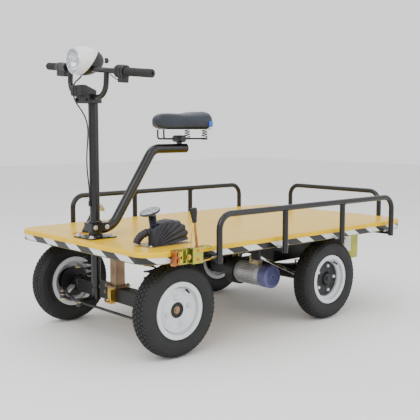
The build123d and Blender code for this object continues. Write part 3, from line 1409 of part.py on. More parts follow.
parts["deck_plate"] = make_deck()
parts["deck_apron"] = make_apron()
parts["chassis_frame"] = make_frame()
parts["spring_hangers"] = make_spring_hangers()
parts["side_rails"] = make_side_rails()
parts["rear_rail"] = make_rear_rail()
make_wheels()
parts["front_axle_beam"] = make_front_axle()
parts["front_axle_post"] = make_axle_post()
parts["front_beam_strap"] = make_beam_strap()
parts["front_springs"] = make_front_springs()
for name, side in SIDES:
    parts[f"knuckle_{name}"] = make_knuckle(side)
parts["tie_rod"] = make_link((KINGPIN_X, STEER_BALL_Y), (-KINGPIN_X, STEER_BALL_Y), TIE_EYE_BOTTOM)
parts["drag_link"] = make_link((0, PITMAN_BALL_Y), (-KINGPIN_X, STEER_BALL_Y), DRAG_EYE_BOTTOM)
parts["column_base"] = make_column_base()
parts["seat_collar"] = make_seat_collar()
parts["steering_column"] = make_column()
parts["handlebar_clamp"] = make_clamp()
parts["control_console"] = make_console()
parts["handlebar"] = make_bar()
parts["grips"] = make_grips()
parts["control_perches"] = make_perches()
parts["headlamp_shell"], parts["headlamp_foot"], parts["headlamp_lens"] = make_lamp()
parts["ignition_key"] = make_key()
parts["control_cables"] = make_cables()
parts["seat_tube"] = make_seat_tube()
parts["saddle"] = make_saddle()
parts["saddle_frame"] = make_saddle_frame()
parts["saddle_springs"] = make_saddle_springs()
parts["pedal_boots"] = [make_near_boot(), make_far_boot()]
parts["pedal_flange"] = make_near_flange()
parts["pedal_pad"] = make_near_pad()
parts["pedal_plate"] = make_pedal_plate()
parts["brake_lever_bracket"] = make_lever_bracket()
parts["brake_lever"] = make_lever()
parts["brake_lever_grip"] = make_lever_grip()
parts["rear_axle"] = make_rear_axle()
parts["radius_rods"] = make_radius_rods()
parts["motor"], parts["motor_fan_cover"] = make_motor()
parts["leaf_springs"] = make_leaf_springs()
parts["battery_box"] = make_battery()
parts["rear_box"] = make_rear_box()
export_all()
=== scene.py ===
"""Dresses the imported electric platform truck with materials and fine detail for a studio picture."""

import logging
import math
from dataclasses import dataclass, field
from enum import Enum
from typing import Sequence

import bmesh
import bpy
from mathutils import Matrix, Vector


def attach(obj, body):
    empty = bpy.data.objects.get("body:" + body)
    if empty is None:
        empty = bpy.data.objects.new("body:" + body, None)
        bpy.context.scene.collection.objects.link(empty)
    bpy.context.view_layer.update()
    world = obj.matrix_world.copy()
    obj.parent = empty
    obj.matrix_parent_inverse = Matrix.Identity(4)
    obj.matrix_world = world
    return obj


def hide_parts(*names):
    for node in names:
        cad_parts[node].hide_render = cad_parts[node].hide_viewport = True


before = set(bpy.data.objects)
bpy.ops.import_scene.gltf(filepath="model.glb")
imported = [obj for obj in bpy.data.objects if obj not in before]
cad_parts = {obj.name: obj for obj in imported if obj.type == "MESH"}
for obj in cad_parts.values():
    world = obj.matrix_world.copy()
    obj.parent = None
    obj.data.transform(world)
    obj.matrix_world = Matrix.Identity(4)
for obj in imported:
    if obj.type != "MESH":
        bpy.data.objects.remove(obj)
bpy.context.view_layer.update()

log = logging.getLogger("truck")

MM = 0.001
Triple = tuple[float, float, float]
Row = tuple[str, str, dict, dict]


class Side(Enum):
    """The two sides of the truck, as the sign of X."""

    LEFT = 1
    RIGHT = -1

    @property
    def word(self) -> str:
        """The side's name in the nodes' names."""
        return self.name.lower()


class Heading(Enum):
    """The direction that a turned piece's axis takes, as a turn from local +Z."""

    UP = (0.0, 0.0, 0.0)
    DOWN = (180.0, 0.0, 0.0)
    FRONT = (90.0, 0.0, 0.0)
    LEFT = (0.0, 90.0, 0.0)
    RIGHT = (0.0, -90.0, 0.0)


def place(spot: Triple, heading: Heading = Heading.UP, tilt: Triple = (0.0, 0.0, 0.0)) -> Matrix:
    """The local axes of a piece, in millimetres.

    Args:
        spot: Where the local origin is.
        heading: Where local +Z points.
        tilt: A further turn about X, Y and Z in degrees, made before the heading.

    Returns:
        The matrix from local to truck coordinates.
    """
    turned = Matrix.Identity(4)
    for angles in (heading.value, tilt):
        for angle, axis in zip(angles, "XYZ"):
            turned = turned @ Matrix.Rotation(math.radians(angle), 4, axis)
    return Matrix.Translation(spot) @ turned


def polar(axes: Matrix, radius: float, angle: float, height: float) -> Vector:
    """A point at a radius, an angle in radians and a height in local axes."""
    return axes @ Vector((radius * math.cos(angle), radius * math.sin(angle), height))


def circle(steps: int) -> list[float]:
    """Equal angles round a full turn, in radians."""
    return [2 * math.pi * i / steps for i in range(steps)]


def aim(start: Triple, end: Triple) -> Matrix:
    """The local axes at start with +Z towards end.

    Args:
        start: The origin, in millimetres.
        end: The point that +Z looks at.

    Returns:
        The matrix from local to truck coordinates.
    """
    way = Vector(end) - Vector(start)
    return Matrix.Translation(start) @ way.to_track_quat("Z", "Y").to_matrix().to_4x4()


def linear(code: str) -> tuple[float, float, float, float]:
    """Turns an sRGB hex colour to linear.

    Args:
        code: Six hex digits.

    Returns:
        Linear red, green and blue, and an alpha of 1.
    """
    parts = [int(code[i : i + 2], 16) / 255 for i in (0, 2, 4)]
    return (*(c / 12.92 if c <= 0.04045 else ((c + 0.055) / 1.055) ** 2.4 for c in parts), 1.0)


def add_node(tree: bpy.types.NodeTree, name: str, kind: str, settings: dict, sockets: dict) -> bpy.types.Node:
    """Adds one node with its settings, its values and its links.

    Args:
        tree: The material's node tree.
        name: The node's own name, by which others link to it.
        kind: The kind of node, without the shader prefix.
        settings: The node's properties.
        sockets: Input name or number to a value, or to "@node.output" for a link.

    Returns:
        The new node.
    """
    node = tree.nodes.new("ShaderNode" + kind)
    node.name = name
    for key, value in settings.items():
        setattr(node, key, value)
    for key, value in sockets.items():
        if isinstance(value, str):
            source, output = value[1:].split(".")
            outputs = tree.nodes[source].outputs
            tree.links.new(outputs[int(output)] if output.isdigit() else outputs[output], node.inputs[key])
        else:
            node.inputs[key].default_value = value
    return node


@dataclass(frozen=True)
class Finish:
    """What every finish has: two tones in soft patches, a fine grain that breaks the gloss, and a relief."""

    name: str
    slot: str
    colour: str
    shade: str
    smooth: float
    rough: float
    patch_mm: float = 90.0
    grain_mm: float = 1.0
    relief_mm: float = 0.02
    metallic: float = 0.0
    coat: float = 0.0
    ior: float = 1.5

    def rows(self) -> list[Row]:
        """The rows of nodes that every finish starts with.

        Returns:
            The rows, in the order in which they are made.
        """
        return [
            ("coords", "TexCoord", {}, {}),
            ("patches", "TexNoise", {},
             {"Vector": "@coords.Object", "Scale": 1000 / self.patch_mm, "Detail": 4.0}),
            ("patch_mask", "MapRange", {}, {"Value": "@patches.Fac", "From Min": 0.35, "From Max": 0.68}),
            ("tone", "Mix", {"data_type": "RGBA"},
             {0: "@patch_mask.Result", 6: linear(self.colour), 7: linear(self.shade)}),
            ("grain", "TexNoise", {},
             {"Vector": "@coords.Object", "Scale": 1000 / self.grain_mm, "Detail": 2.0}),
            ("gloss", "MapRange", {},
             {"Value": "@grain.Fac", "From Min": 0.3, "From Max": 0.7,
              "To Min": self.smooth, "To Max": self.rough}),
            ("relief", "Bump", {},
             {"Height": "@grain.Fac", "Strength": 0.5, "Distance": self.relief_mm * MM}),
        ]

    def shader(self) -> dict:
        """The shader's values and links.

        Returns:
            Input names of the shader, each to its value or link.
        """
        values = {
            "Base Color": "@tone.2",
            "Metallic": self.metallic,
            "Roughness": "@gloss.Result",
            "Normal": "@relief.Normal",
            "Coat Weight": self.coat,
            "Coat Roughness": 0.08,
        }
        if not self.metallic:
            values["IOR"] = self.ior
        return values

    def material(self) -> bpy.types.Material:
        """The finish as a Blender material, made once.

        Returns:
            The new material, or the one made before.
        """
        known = bpy.data.materials.get(self.name)
        if known:
            return known
        made = bpy.data.materials.new(self.name)
        made.use_nodes = True
        tree = made.node_tree
        tree.nodes.clear()
        for row in self.rows():
            add_node(tree, *row)
        add_node(tree, "surface", "BsdfPrincipled", {}, self.shader())
        add_node(tree, "output", "OutputMaterial", {}, {"Surface": "@surface.BSDF"})
        return made


@dataclass(frozen=True)
class GlossEnamel(Finish):
    """Sprayed gloss enamel on sheet steel: a soft orange peel, and streaks of a second colour: fine dust and
    scuffs, and on the deck a painted cream highlight as well.
    """

    peel_mm: float = 7.0
    dust: str = "E9E2C8"
    dust_and_highlight_amount: float = 0.25

    def rows(self) -> list[Row]:
        """Adds the orange peel and the streaks of dust and scuffs, which on the deck are painted highlight as
        well.

        Returns:
            The rows of nodes, those of the plainer finish first.
        """
        return super().rows() + [
            ("peel", "TexNoise", {},
             {"Vector": "@coords.Object", "Scale": 1000 / self.peel_mm, "Detail": 1.0}),
            ("peel_relief", "Bump", {},
             {"Height": "@peel.Fac", "Strength": 0.22, "Distance": 0.0006, "Normal": "@relief.Normal"}),
            # Streaks of the second colour: dust and scuffs, and on the deck a painted cream highlight
            ("scuff_lie", "Mapping", {}, {"Vector": "@coords.Object", "Scale": (9.0, 2.2, 9.0)}),
            ("scuffs", "TexNoise", {},
             {"Vector": "@scuff_lie.Vector", "Scale": 4.0, "Detail": 9.0, "Roughness": 0.72}),
            ("scuff_mask", "MapRange", {},
             {"Value": "@scuffs.Fac", "From Min": 0.52, "From Max": 0.78, "To Max": self.dust_and_highlight_amount}),
            ("dusty", "Mix", {"data_type": "RGBA"},
             {0: "@scuff_mask.Result", 6: "@tone.2", 7: linear(self.dust)}),
            ("dull", "MapRange", {},
             {"Value": "@scuff_mask.Result", "From Max": 0.3,
              "To Min": self.smooth, "To Max": self.rough + 0.2}),
        ]

    def shader(self) -> dict:
        """Takes the colour with its dust, scuffs and painted highlight, and the peel.

        Returns:
            The shader's values and links.
        """
        return super().shader() | {
            "Base Color": "@dusty.2", "Roughness": "@dull.Result", "Normal": "@peel_relief.Normal"
        }


@dataclass(frozen=True)
class StripedEnamel(GlossEnamel):
    """Two enamels in slanted bands, counted along the UV map's first axis."""

    band: str = "D9DAD6"
    slant: float = -0.27

    def rows(self) -> list[Row]:
        """Adds the bands over the dusty ground.

        Returns:
            The rows of nodes, those of the plainer finish first.
        """
        return super().rows() + [
            ("along", "SeparateXYZ", {}, {"Vector": "@coords.UV"}),
            ("lean", "Math", {"operation": "MULTIPLY"}, {0: "@along.Y", 1: self.slant}),
            ("count", "Math", {"operation": "ADD"}, {0: "@along.X", 1: "@lean.Value"}),
            ("middle", "Math", {"operation": "PINGPONG"}, {0: "@count.Value", 1: 0.5}),
            ("band_mask", "MapRange", {}, {"Value": "@middle.Value", "From Min": 0.243, "From Max": 0.238}),
            ("banded", "Mix", {"data_type": "RGBA"},
             {0: "@band_mask.Result", 6: "@dusty.2", 7: linear(self.band)}),
        ]

    def shader(self) -> dict:
        """Takes the banded colour."""
        return super().shader() | {"Base Color": "@banded.2"}


@dataclass(frozen=True)
class PassivatedZinc(Finish):
    """Zinc plate with a chromate film, whose thickness turns it from straw to rose and green."""

    film_mm: float = 34.0
    rose: str = "B9895C"
    green: str = "8E9A5A"

    def rows(self) -> list[Row]:
        """Adds the film's second and third hue.

        Returns:
            The rows of nodes, those of the plainer finish first.
        """
        return super().rows() + [
            ("film", "TexNoise", {},
             {"Vector": "@coords.Object", "Scale": 1000 / self.film_mm, "Detail": 3.0, "Distortion": 1.2}),
            ("rose_mask", "MapRange", {},
             {"Value": "@film.Fac", "From Min": 0.55, "From Max": 0.72, "To Max": 0.7}),
            ("green_mask", "MapRange", {},
             {"Value": "@film.Fac", "From Min": 0.46, "From Max": 0.3, "To Max": 0.6}),
            ("rosy", "Mix", {"data_type": "RGBA"},
             {0: "@rose_mask.Result", 6: "@tone.2", 7: linear(self.rose)}),
            ("greened", "Mix", {"data_type": "RGBA"},
             {0: "@green_mask.Result", 6: "@rosy.2", 7: linear(self.green)}),
        ]

    def shader(self) -> dict:
        """Takes the film's colour."""
        return super().shader() | {"Base Color": "@greened.2"}


@dataclass(frozen=True)
class GrainedLeather(Finish):
    """Embossed leather cloth: pebbles about 2 mm across with creases between them."""

    pebble_mm: float = 2.4

    def rows(self) -> list[Row]:
        """Adds the pebbles.

        Returns:
            The rows of nodes, those of the plainer finish first.
        """
        return super().rows() + [
            ("pebbles", "TexVoronoi", {"feature": "DISTANCE_TO_EDGE"},
             {"Vector": "@coords.Object", "Scale": 1000 / self.pebble_mm}),
            ("crease", "MapRange", {}, {"Value": "@pebbles.Distance", "From Max": 0.12}),
            ("pebble_relief", "Bump", {},
             {"Height": "@crease.Result", "Strength": 0.45, "Distance": 0.0004, "Normal": "@relief.Normal"}),
        ]

    def shader(self) -> dict:
        """Takes the pebbles and a faint sheen.

        Returns:
            The shader's values and links.
        """
        return super().shader() | {
            "Normal": "@pebble_relief.Normal", "Sheen Weight": 0.15, "Sheen Roughness": 0.4
        }


@dataclass(frozen=True)
class ClearMoulding(Finish):
    """Clear moulded plastic or glass with shallow upright flutes."""

    flute_mm: float = 5.0

    def rows(self) -> list[Row]:
        """Adds the flutes.

        Returns:
            The rows of nodes, those of the plainer finish first.
        """
        return super().rows() + [
            ("flutes", "TexWave", {"bands_direction": "X"},
             {"Vector": "@coords.Object", "Scale": 1000 / self.flute_mm / 20}),
            ("flute_relief", "Bump", {}, {"Height": "@flutes.Fac", "Strength": 0.3, "Distance": 0.0006}),
        ]

    def shader(self) -> dict:
        """Lets light through."""
        return super().shader() | {"Transmission Weight": 0.92, "Normal": "@flute_relief.Normal"}


class Finishes:
    """Every finish on the truck, named for the real material and how its surface was made."""

    # Yellow enamel on the pressed deck: bright and glossy, with pale cream streaks that are painted highlight
    # as well as dust
    DECK_ENAMEL = GlossEnamel(
        "sprayed_yellow_enamel", "yellow_enamel", "E6BA00", "DCAE00", 0.28, 0.4,
        dust="FFEE9A", dust_and_highlight_amount=0.1, ior=1.28,
    )
    # Striped enamel on the apron: dark and pale slanted bands behind the same gloss
    APRON_ENAMEL = StripedEnamel(
        "striped_apron_enamel", "hazard_apron", "0A0A0A", "060606", 0.3, 0.45, dust="3A3A38", dust_and_highlight_amount=0.1,
    )
    # Folded lower hem of the apron, where the yellow ground shows: its yellow is painted dark olive, as shade
    # under the apron's rolled edge
    HEM_ENAMEL = GlossEnamel(
        "yellow_hem_enamel", "yellow_enamel", "6E6430", "5A5128", 0.4, 0.55, dust_and_highlight_amount=0.1,
    )
    # Powder coat on the bent tubes: black with a satin shine and a fine peel
    TUBE_COAT = GlossEnamel(
        "satin_powder_coat", "rail_black", "08080A", "0C0C0E", 0.26, 0.4,
        dust="3A3A3C", dust_and_highlight_amount=0.08, peel_mm=3.0,
    )
    # Chassis paint: flatter black over mill scale, dustier
    FRAME_PAINT = GlossEnamel(
        "matt_chassis_paint", "frame_black", "0C0C0D", "131314", 0.45, 0.65,
        dust="4A4844", dust_and_highlight_amount=0.18, peel_mm=4.0,
    )
    # Castings painted black: a coarse skin from the sand
    CAST_PAINT = Finish(
        "painted_sand_casting", "cast_black", "0F1012", "17181A", 0.4, 0.6, grain_mm=2.2, relief_mm=0.25,
    )
    # Spring steel under black enamel: a thin, even shine on wire and leaves
    SPRING_PAINT = Finish("enamelled_spring_steel", "spring_black", "0C0D0F", "141518", 0.3, 0.45)
    # Olive passivated zinc on the axle post, the pedal's flange and the axle's bolts: a dull brown
    OLIVE_ZINC = PassivatedZinc(
        "olive_passivated_zinc", "zinc_olive", "9C8468", "74634C", 0.34, 0.5,
        rose="A8745C", green="77724C", metallic=0.8,
    )
    # Bright yellow passivated zinc on brackets: straw with rose and green
    YELLOW_ZINC = PassivatedZinc(
        "yellow_passivated_zinc", "zinc_yellow", "D8B450", "C49C3C", 0.22, 0.38,
        rose="B4643C", green="A8AC48", metallic=0.85,
    )
    # Clear passivated zinc on nuts, screws, steering arms and the far pedal's plate: cold grey metal
    BRIGHT_ZINC = Finish(
        "clear_passivated_zinc", "zinc_bright", "E2E4E6", "C4C6C8", 0.24, 0.4, metallic=0.75, patch_mm=30,
    )
    # Chromium plate on the lamp's ring and reflector, the key's barrel and the radius rods: a mirror
    CHROME = Finish(
        "polished_chromium_plate", "zinc_bright", "E6E8EA", "DCDFE2", 0.05, 0.1,
        metallic=1.0, relief_mm=0.002,
    )
    # Dark zinc on the steering rods: grey metal with a narrow shine
    ROD_STEEL = Finish("dark_zinc_rod", "rod_steel", "4A4A4D", "3A3A3D", 0.3, 0.45, metallic=0.9)
    # Tyre rubber: nearly black with a grey bloom
    TYRE_RUBBER = Finish(
        "vulcanised_tyre_rubber", "tyre", "101011", "171718", 0.55, 0.78,
        patch_mm=45, grain_mm=1.6, relief_mm=0.12,
    )
    # Grip rubber, moulded: matt black that lights only along its ribs
    GRIP_RUBBER = Finish(
        "moulded_grip_rubber", "grip_rubber", "0F0F10", "161617", 0.55, 0.75, grain_mm=1.2, relief_mm=0.1,
    )
    # Boot rubber: flexible, with a dusty grey bloom on its folds
    BOOT_RUBBER = Finish(
        "moulded_boot_rubber", "boot_rubber", "10111A", "1E2030", 0.34, 0.5,
        patch_mm=40, grain_mm=1.5, relief_mm=0.1,
    )
    # Switch housings in black ABS, finely textured: a broken, soft shine
    SWITCH_ABS = Finish(
        "textured_black_abs", "switch_plastic", "0E0E10", "141416", 0.38, 0.55, grain_mm=0.9, relief_mm=0.08,
    )
    # Cable sheath, extruded and smooth: a soft line of light along it
    CABLE_PVC = Finish("extruded_black_pvc", "cable_plastic", "0A0A0B", "101011", 0.35, 0.5)
    # White lamp shell, moulded in gloss ABS: bright, with sharp reflections
    LAMP_ABS = Finish(
        "gloss_white_abs", "lamp_white", "E6E6E3", "DCDCDA", 0.12, 0.22, coat=0.3, relief_mm=0.01,
    )
    # Lamp lens, moulded clear: its flutes break up the bulb behind them
    LAMP_LENS = ClearMoulding(
        "fluted_clear_lens", "lamp_lens", "F4F7F8", "EDF2F4", 0.02, 0.06, relief_mm=0.002,
    )
    # Blue reflector at the saddle's tail, moulded with prisms: strong blue with small glints
    BLUE_REFLECTOR = Finish(
        "blue_reflector_prisms", "lamp_lens", "1F5FC4", "164A9E", 0.1, 0.2, grain_mm=3.0, relief_mm=0.5,
    )
    # Saddle cover: dark blue-grey leather cloth with pebbles
    SADDLE_COVER = GrainedLeather(
        "embossed_leather_cloth", "saddle_leather", "151C28", "1C2533", 0.34, 0.48, patch_mm=60,
    )
    # White enamel on the rims, with brake dust
    RIM_ENAMEL = GlossEnamel(
        "white_rim_enamel", "rim_white", "D6D8DB", "CBCED2", 0.2, 0.34, dust="8F8A80", dust_and_highlight_amount=0.25,
    )
    # Cast motor body under silver paint: grainy and half metallic
    MOTOR_CASTING = Finish(
        "silver_painted_casting", "motor_aluminium", "D2D4D8", "B4B7BC", 0.3, 0.45,
        metallic=0.5, grain_mm=2.0, relief_mm=0.2,
    )
    # Blue-grey enamel on the fan cover: a gloss softened by dust
    FAN_ENAMEL = GlossEnamel(
        "blue_grey_enamel", "motor_cover", "7E80B4", "6C6EA2", 0.3, 0.45, dust="B2B4CC", dust_and_highlight_amount=0.25,
    )
    # Battery box in moulded ABS: flat black, lightly grained
    BATTERY_ABS = Finish(
        "moulded_battery_box", "frame_black", "1A1B1D", "232426", 0.5, 0.65, grain_mm=1.2, relief_mm=0.15,
    )
    # Pedal pad: dark grey rubber with dust in its low parts
    PAD_RUBBER = Finish(
        "worn_grey_pad_rubber", "boot_rubber", "34363C", "22242A", 0.35, 0.55,
        patch_mm=14, grain_mm=1.5, relief_mm=0.1,
    )
    # Pale ridges of the pad: rubber worn by shoes, with a painted highlight along their tops
    WORN_AND_HIGHLIT_RUBBER = Finish("pad_ridges_worn_and_highlit", "boot_rubber", "C4C6CA", "8C8F94", 0.3, 0.45, patch_mm=14)
    # Chromate film at its thickest, on the lever bracket's front fold: rose to copper
    ROSE_ZINC = PassivatedZinc(
        "rose_passivated_zinc", "zinc_yellow", "A8683C", "8C4C28", 0.22, 0.38,
        rose="6E2C18", green="C8A040", metallic=0.85,
    )
    # The same film on the bracket's rear plate: yellow-green
    GREEN_ZINC = PassivatedZinc(
        "green_passivated_zinc", "zinc_yellow", "B4B04C", "98A04C", 0.22, 0.38,
        rose="C89850", green="7C9048", metallic=0.8,
    )
    # Bulb of blown clear glass: sharp glints, with the reflector seen through it
    BULB_GLASS = ClearMoulding(
        "clear_bulb_glass", "lamp_lens", "FFFFFF", "F4F6F8", 0.02, 0.04, relief_mm=0.001,
    )
    # Blank label of white vinyl: smooth, with no print
    BLANK_LABEL = Finish("blank_vinyl_label", "lamp_white", "E8E8E2", "DEDED8", 0.4, 0.5)
    # Cream rubber on the joints' boots, the hose's end and the motor's terminal box: waxy and dull
    CREAM_RUBBER = Finish("cream_joint_rubber", "lamp_white", "C9B891", "B6A47C", 0.5, 0.65)
    # Red moulded plastic clip: a small bright spot
    RED_PLASTIC = Finish("red_moulded_plastic", "switch_plastic", "B3231E", "A01C18", 0.35, 0.45)
    # Studio floor of matt paper: pale, and it takes only soft shadows
    STUDIO_PAPER = Finish("pale_studio_paper", "", "F2F2F1", "EFEFEE", 0.8, 0.9, relief_mm=0.0, patch_mm=900)


def dress(finish: Finish, *nodes: str) -> None:
    """Gives CAD nodes a finish.

    Args:
        finish: The finish.
        nodes: The nodes' names.
    """
    for name in nodes:
        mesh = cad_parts[name].data
        mesh.materials.clear()
        mesh.materials.append(finish.material())
        log.info("dressed %s in %s", name, finish.name)


@dataclass
class Draft:
    """Points and faces of one piece, in millimetres, while it is built."""

    points: list[Vector] = field(default_factory=list)
    faces: list[tuple[int, ...]] = field(default_factory=list)
    marks: dict[int, tuple[float, float]] = field(default_factory=dict)
    tip: float = 0.05
    washer_height: float = 1.4

    def loop(self, points: Sequence[Vector]) -> list[int]:
        """Adds one ring of points.

        Args:
            points: The ring's points.

        Returns:
            Their numbers in the draft.
        """
        first = len(self.points)
        self.points += [Vector(p) for p in points]
        return list(range(first, len(self.points)))

    def skin(self, loops: Sequence[list[int]], closed: bool = False, capped: bool = True) -> None:
        """Joins rings with faces.

        Args:
            loops: Rings with equal counts of points.
            closed: Whether the last ring joins the first.
            capped: Whether the first and last ring are filled.
        """
        pairs = list(zip(loops, loops[1:]))
        if closed:
            pairs.append((loops[-1], loops[0]))
        for lower, upper in pairs:
            count = len(lower)
            for i in range(count):
                j = (i + 1) % count
                self.faces.append((lower[i], lower[j], upper[j], upper[i]))
        if capped and not closed:
            self.faces.append(tuple(reversed(loops[0])))
            self.faces.append(tuple(loops[-1]))

    def turn(
        self, profile: Sequence[tuple[float, float]], axes: Matrix, steps: int = 40, closed: bool = False
    ) -> None:
        """Turns a profile about local Z.

        Args:
            profile: (radius, height) pairs; a radius of 0 closes an end to a small disc.
            axes: The local axes.
            steps: How many flat sides the round has.
            closed: Whether the profile is a ring's section, joined end to end.
        """
        loops = []
        for radius, height in profile:
            reach = max(radius, self.tip)
            loops.append(self.loop([polar(axes, reach, angle, height) for angle in circle(steps)]))
        self.skin(loops, closed, not closed)

    @staticmethod
    def bar_ring(spot: Vector, side: Vector, way: Vector, radius: float, steps: int) -> list[Vector]:
        """A ring of points round a bar that runs along way, begun at side."""
        other = way.cross(side)
        return [spot + (side * math.cos(angle) + other * math.sin(angle)) * radius for angle in circle(steps)]

    def tube(self, path: Sequence[Triple], radius: float, steps: int = 12) -> None:
        """Runs a round bar along points, with its rings square to the path.

        Args:
            path: The points of its middle line.
            radius: The bar's radius.
            steps: How many flat sides it has.
        """
        spots = [Vector(p) for p in path]
        ways = [(b - a).normalized() for a, b in zip(spots, spots[1:])]
        ways = [ways[0]] + [(a + b).normalized() for a, b in zip(ways, ways[1:])] + [ways[-1]]
        side = ways[0].orthogonal().normalized()
        loops = []
        for spot, way in zip(spots, ways):
            side = (side - way * side.dot(way)).normalized()
            loops.append(self.loop(self.bar_ring(spot, side, way, radius, steps)))
        self.skin(loops)

    def slab(self, size: Triple, axes: Matrix, edge: float = 0.8) -> None:
        """Adds a plate or block with bevelled edges, centred on the local origin.

        Args:
            size: Its size along the local axes.
            axes: The local axes.
            edge: How wide the bevel is.
        """
        made = bmesh.new()
        bmesh.ops.create_cube(made, size=1.0)
        bmesh.ops.scale(made, vec=size, verts=made.verts)
        edge = min(edge, 0.45 * min(size))
        bmesh.ops.bevel(made, geom=made.edges, offset=edge, segments=2, affect="EDGES", profile=0.5)
        base = len(self.points)
        made.verts.index_update()
        self.points += [axes @ v.co for v in made.verts]
        self.faces += [tuple(base + v.index for v in f.verts) for f in made.faces]
        made.free()

    def bolt(self, axes: Matrix, across: float, height: float, washer: bool = True) -> None:
        """Adds a hexagon head with a chamfer, on a washer.

        Args:
            axes: The local axes, with +Z out of the head.
            across: The head's width across its flats.
            height: The head's height.
            washer: Whether a washer lies below the head.
        """
        low = 0.0
        if washer:
            low = self.washer_height
            self.turn([(across * 0.95, 0), (across * 0.95, low), (0, low)], axes, 28)
        reach = across / 2 / math.cos(math.pi / 6)
        self.turn(
            [(reach, low), (reach, height * 0.82 + low), (reach * 0.82, height + low), (0, height + low)],
            axes, 6
        )

    def piece(self, name: str, finish: Finish, body: str, smooth: float = 35.0) -> bpy.types.Object:
        """Makes the object, gives it its finish and lets it ride.

        Args:
            name: The piece's name.
            finish: Its finish.
            body: The body that it rides on.
            smooth: The edge angle in degrees up to which the shading is smooth.

        Returns:
            The new object.
        """
        mesh = bpy.data.meshes.new(name)
        mesh.from_pydata([p * MM for p in self.points], [], self.faces)
        mesh.validate()
        if self.marks:
            layer = mesh.uv_layers.new(name="bands")
            for corner in mesh.loops:
                layer.data[corner.index].uv = self.marks[corner.vertex_index]
        work = bmesh.new()
        work.from_mesh(mesh)
        bmesh.ops.recalc_face_normals(work, faces=work.faces)
        work.to_mesh(mesh)
        work.free()
        mesh.shade_smooth()
        mesh.set_sharp_from_angle(angle=math.radians(smooth))
        mesh.materials.append(finish.material())
        made = bpy.data.objects.new(name, mesh)
        bpy.context.scene.collection.objects.link(made)
        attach(made, body)
        log.info("built %s: %d faces on %s", name, len(mesh.polygons), body)
        return made


@dataclass
class Studio:
    """The camera at the photograph's angle, the floor and the soft lights."""

    camera_at: Triple = (2.6431, -2.4606, 0.9089)
    camera_turn: Triple = (83.73, 0.0, 48.12)
    lens_mm: float = 63.53
    floor_half: float = 14.0
    look_at: Triple = (0.0, 0.0, 0.5)
    room_colour: str = "F8F9FA"
    room_strength: float = 1.35
    boxes: tuple[tuple[str, Triple, float, float], ...] = (
        ("key_box", (1.6, -3.4, 3.6), 120.0, 3.4),
        ("fill_box", (4.2, 1.6, 2.2), 50.0, 3.4),
        ("top_box", (-0.6, 0.2, 4.4), 60.0, 4.4),
    )

    def camera(self) -> None:
        """Sets the camera."""
        data = bpy.data.cameras.new("photo_camera")
        data.lens = self.lens_mm
        data.sensor_width = 36.0
        made = bpy.data.objects.new("photo_camera", data)
        made.location = self.camera_at
        made.rotation_euler = [math.radians(a) for a in self.camera_turn]
        bpy.context.scene.collection.objects.link(made)
        bpy.context.scene.camera = made

    def floor(self) -> None:
        """Lays the paper floor."""
        reach = self.floor_half
        mesh = bpy.data.meshes.new("paper_floor")
        corners = [(x * reach, y * reach, 0) for x, y in ((-1, -1), (1, -1), (1, 1), (-1, 1))]
        mesh.from_pydata(corners, [], [(0, 1, 2, 3)])
        mesh.materials.append(Finishes.STUDIO_PAPER.material())
        floor = bpy.data.objects.new("paper_floor", mesh)
        bpy.context.scene.collection.objects.link(floor)

    def lights(self) -> None:
        """Hangs three soft boxes and sets the pale room."""
        for name, spot, power, width in self.boxes:
            data = bpy.data.lights.new(name, "AREA")
            data.energy = power
            data.size = width
            made = bpy.data.objects.new(name, data)
            made.location = spot
            made.rotation_euler = (Vector(self.look_at) - Vector(spot)).to_track_quat("-Z", "Y").to_euler()
            bpy.context.scene.collection.objects.link(made)
        room = bpy.data.worlds.new("pale_room")
        room.use_nodes = True
        sky = room.node_tree.nodes["Background"].inputs
        sky["Color"].default_value = linear(self.room_colour)
        sky["Strength"].default_value = self.room_strength
        bpy.context.scene.world = room


@dataclass
class Cables:
    """The two free cables of the handlebar, on the same routes as their solids."""

    lamp_route: tuple[Triple, ...] = (
        (0, -798, 1122.5), (0, -812, 1109), (0, -832, 1095),
        (0, -840, 1070), (0, -838, 1040), (0, -825, 1012),
        (0, -801, 984), (0, -781, 952), (0, -771, 912), (0, -773, 862), (0, -779, 806), (0, -780, 748),
        (0, -774, 692), (0, -769, 645), (0, -769, 607),
    )
    throttle_route: tuple[Triple, ...] = ((218, -760.25, 1096), (190, -766.25, 1104), (163, -768.25, 1124.2))

    def build(self) -> None:
        for name, route, diameter, length in (
            ("lamp_cable", self.lamp_route, 6.0, 535.0),
            ("throttle_cable", self.throttle_route, 4.0, 61.0),
        ):
            curve = bpy.data.curves.new(name, "CURVE")
            curve.dimensions = "3D"
            line = curve.splines.new("NURBS")
            line.points.add(len(route) - 1)
            for point, spot in zip(line.points, route):
                point.co = (*(Vector(spot) * MM), 1.0)
            line.order_u = 3
            line.use_endpoint_u = True
            curve.bevel_depth = diameter / 2 * MM
            curve.bevel_resolution = 3
            curve.use_fill_caps = True
            curve.materials.append(Finishes.CABLE_PVC.material())
            made = bpy.data.objects.new(name, curve)
            bpy.context.scene.collection.objects.link(made)
            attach(made, "steering")
            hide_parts("control_cables")
            log.info("laid %s", name)


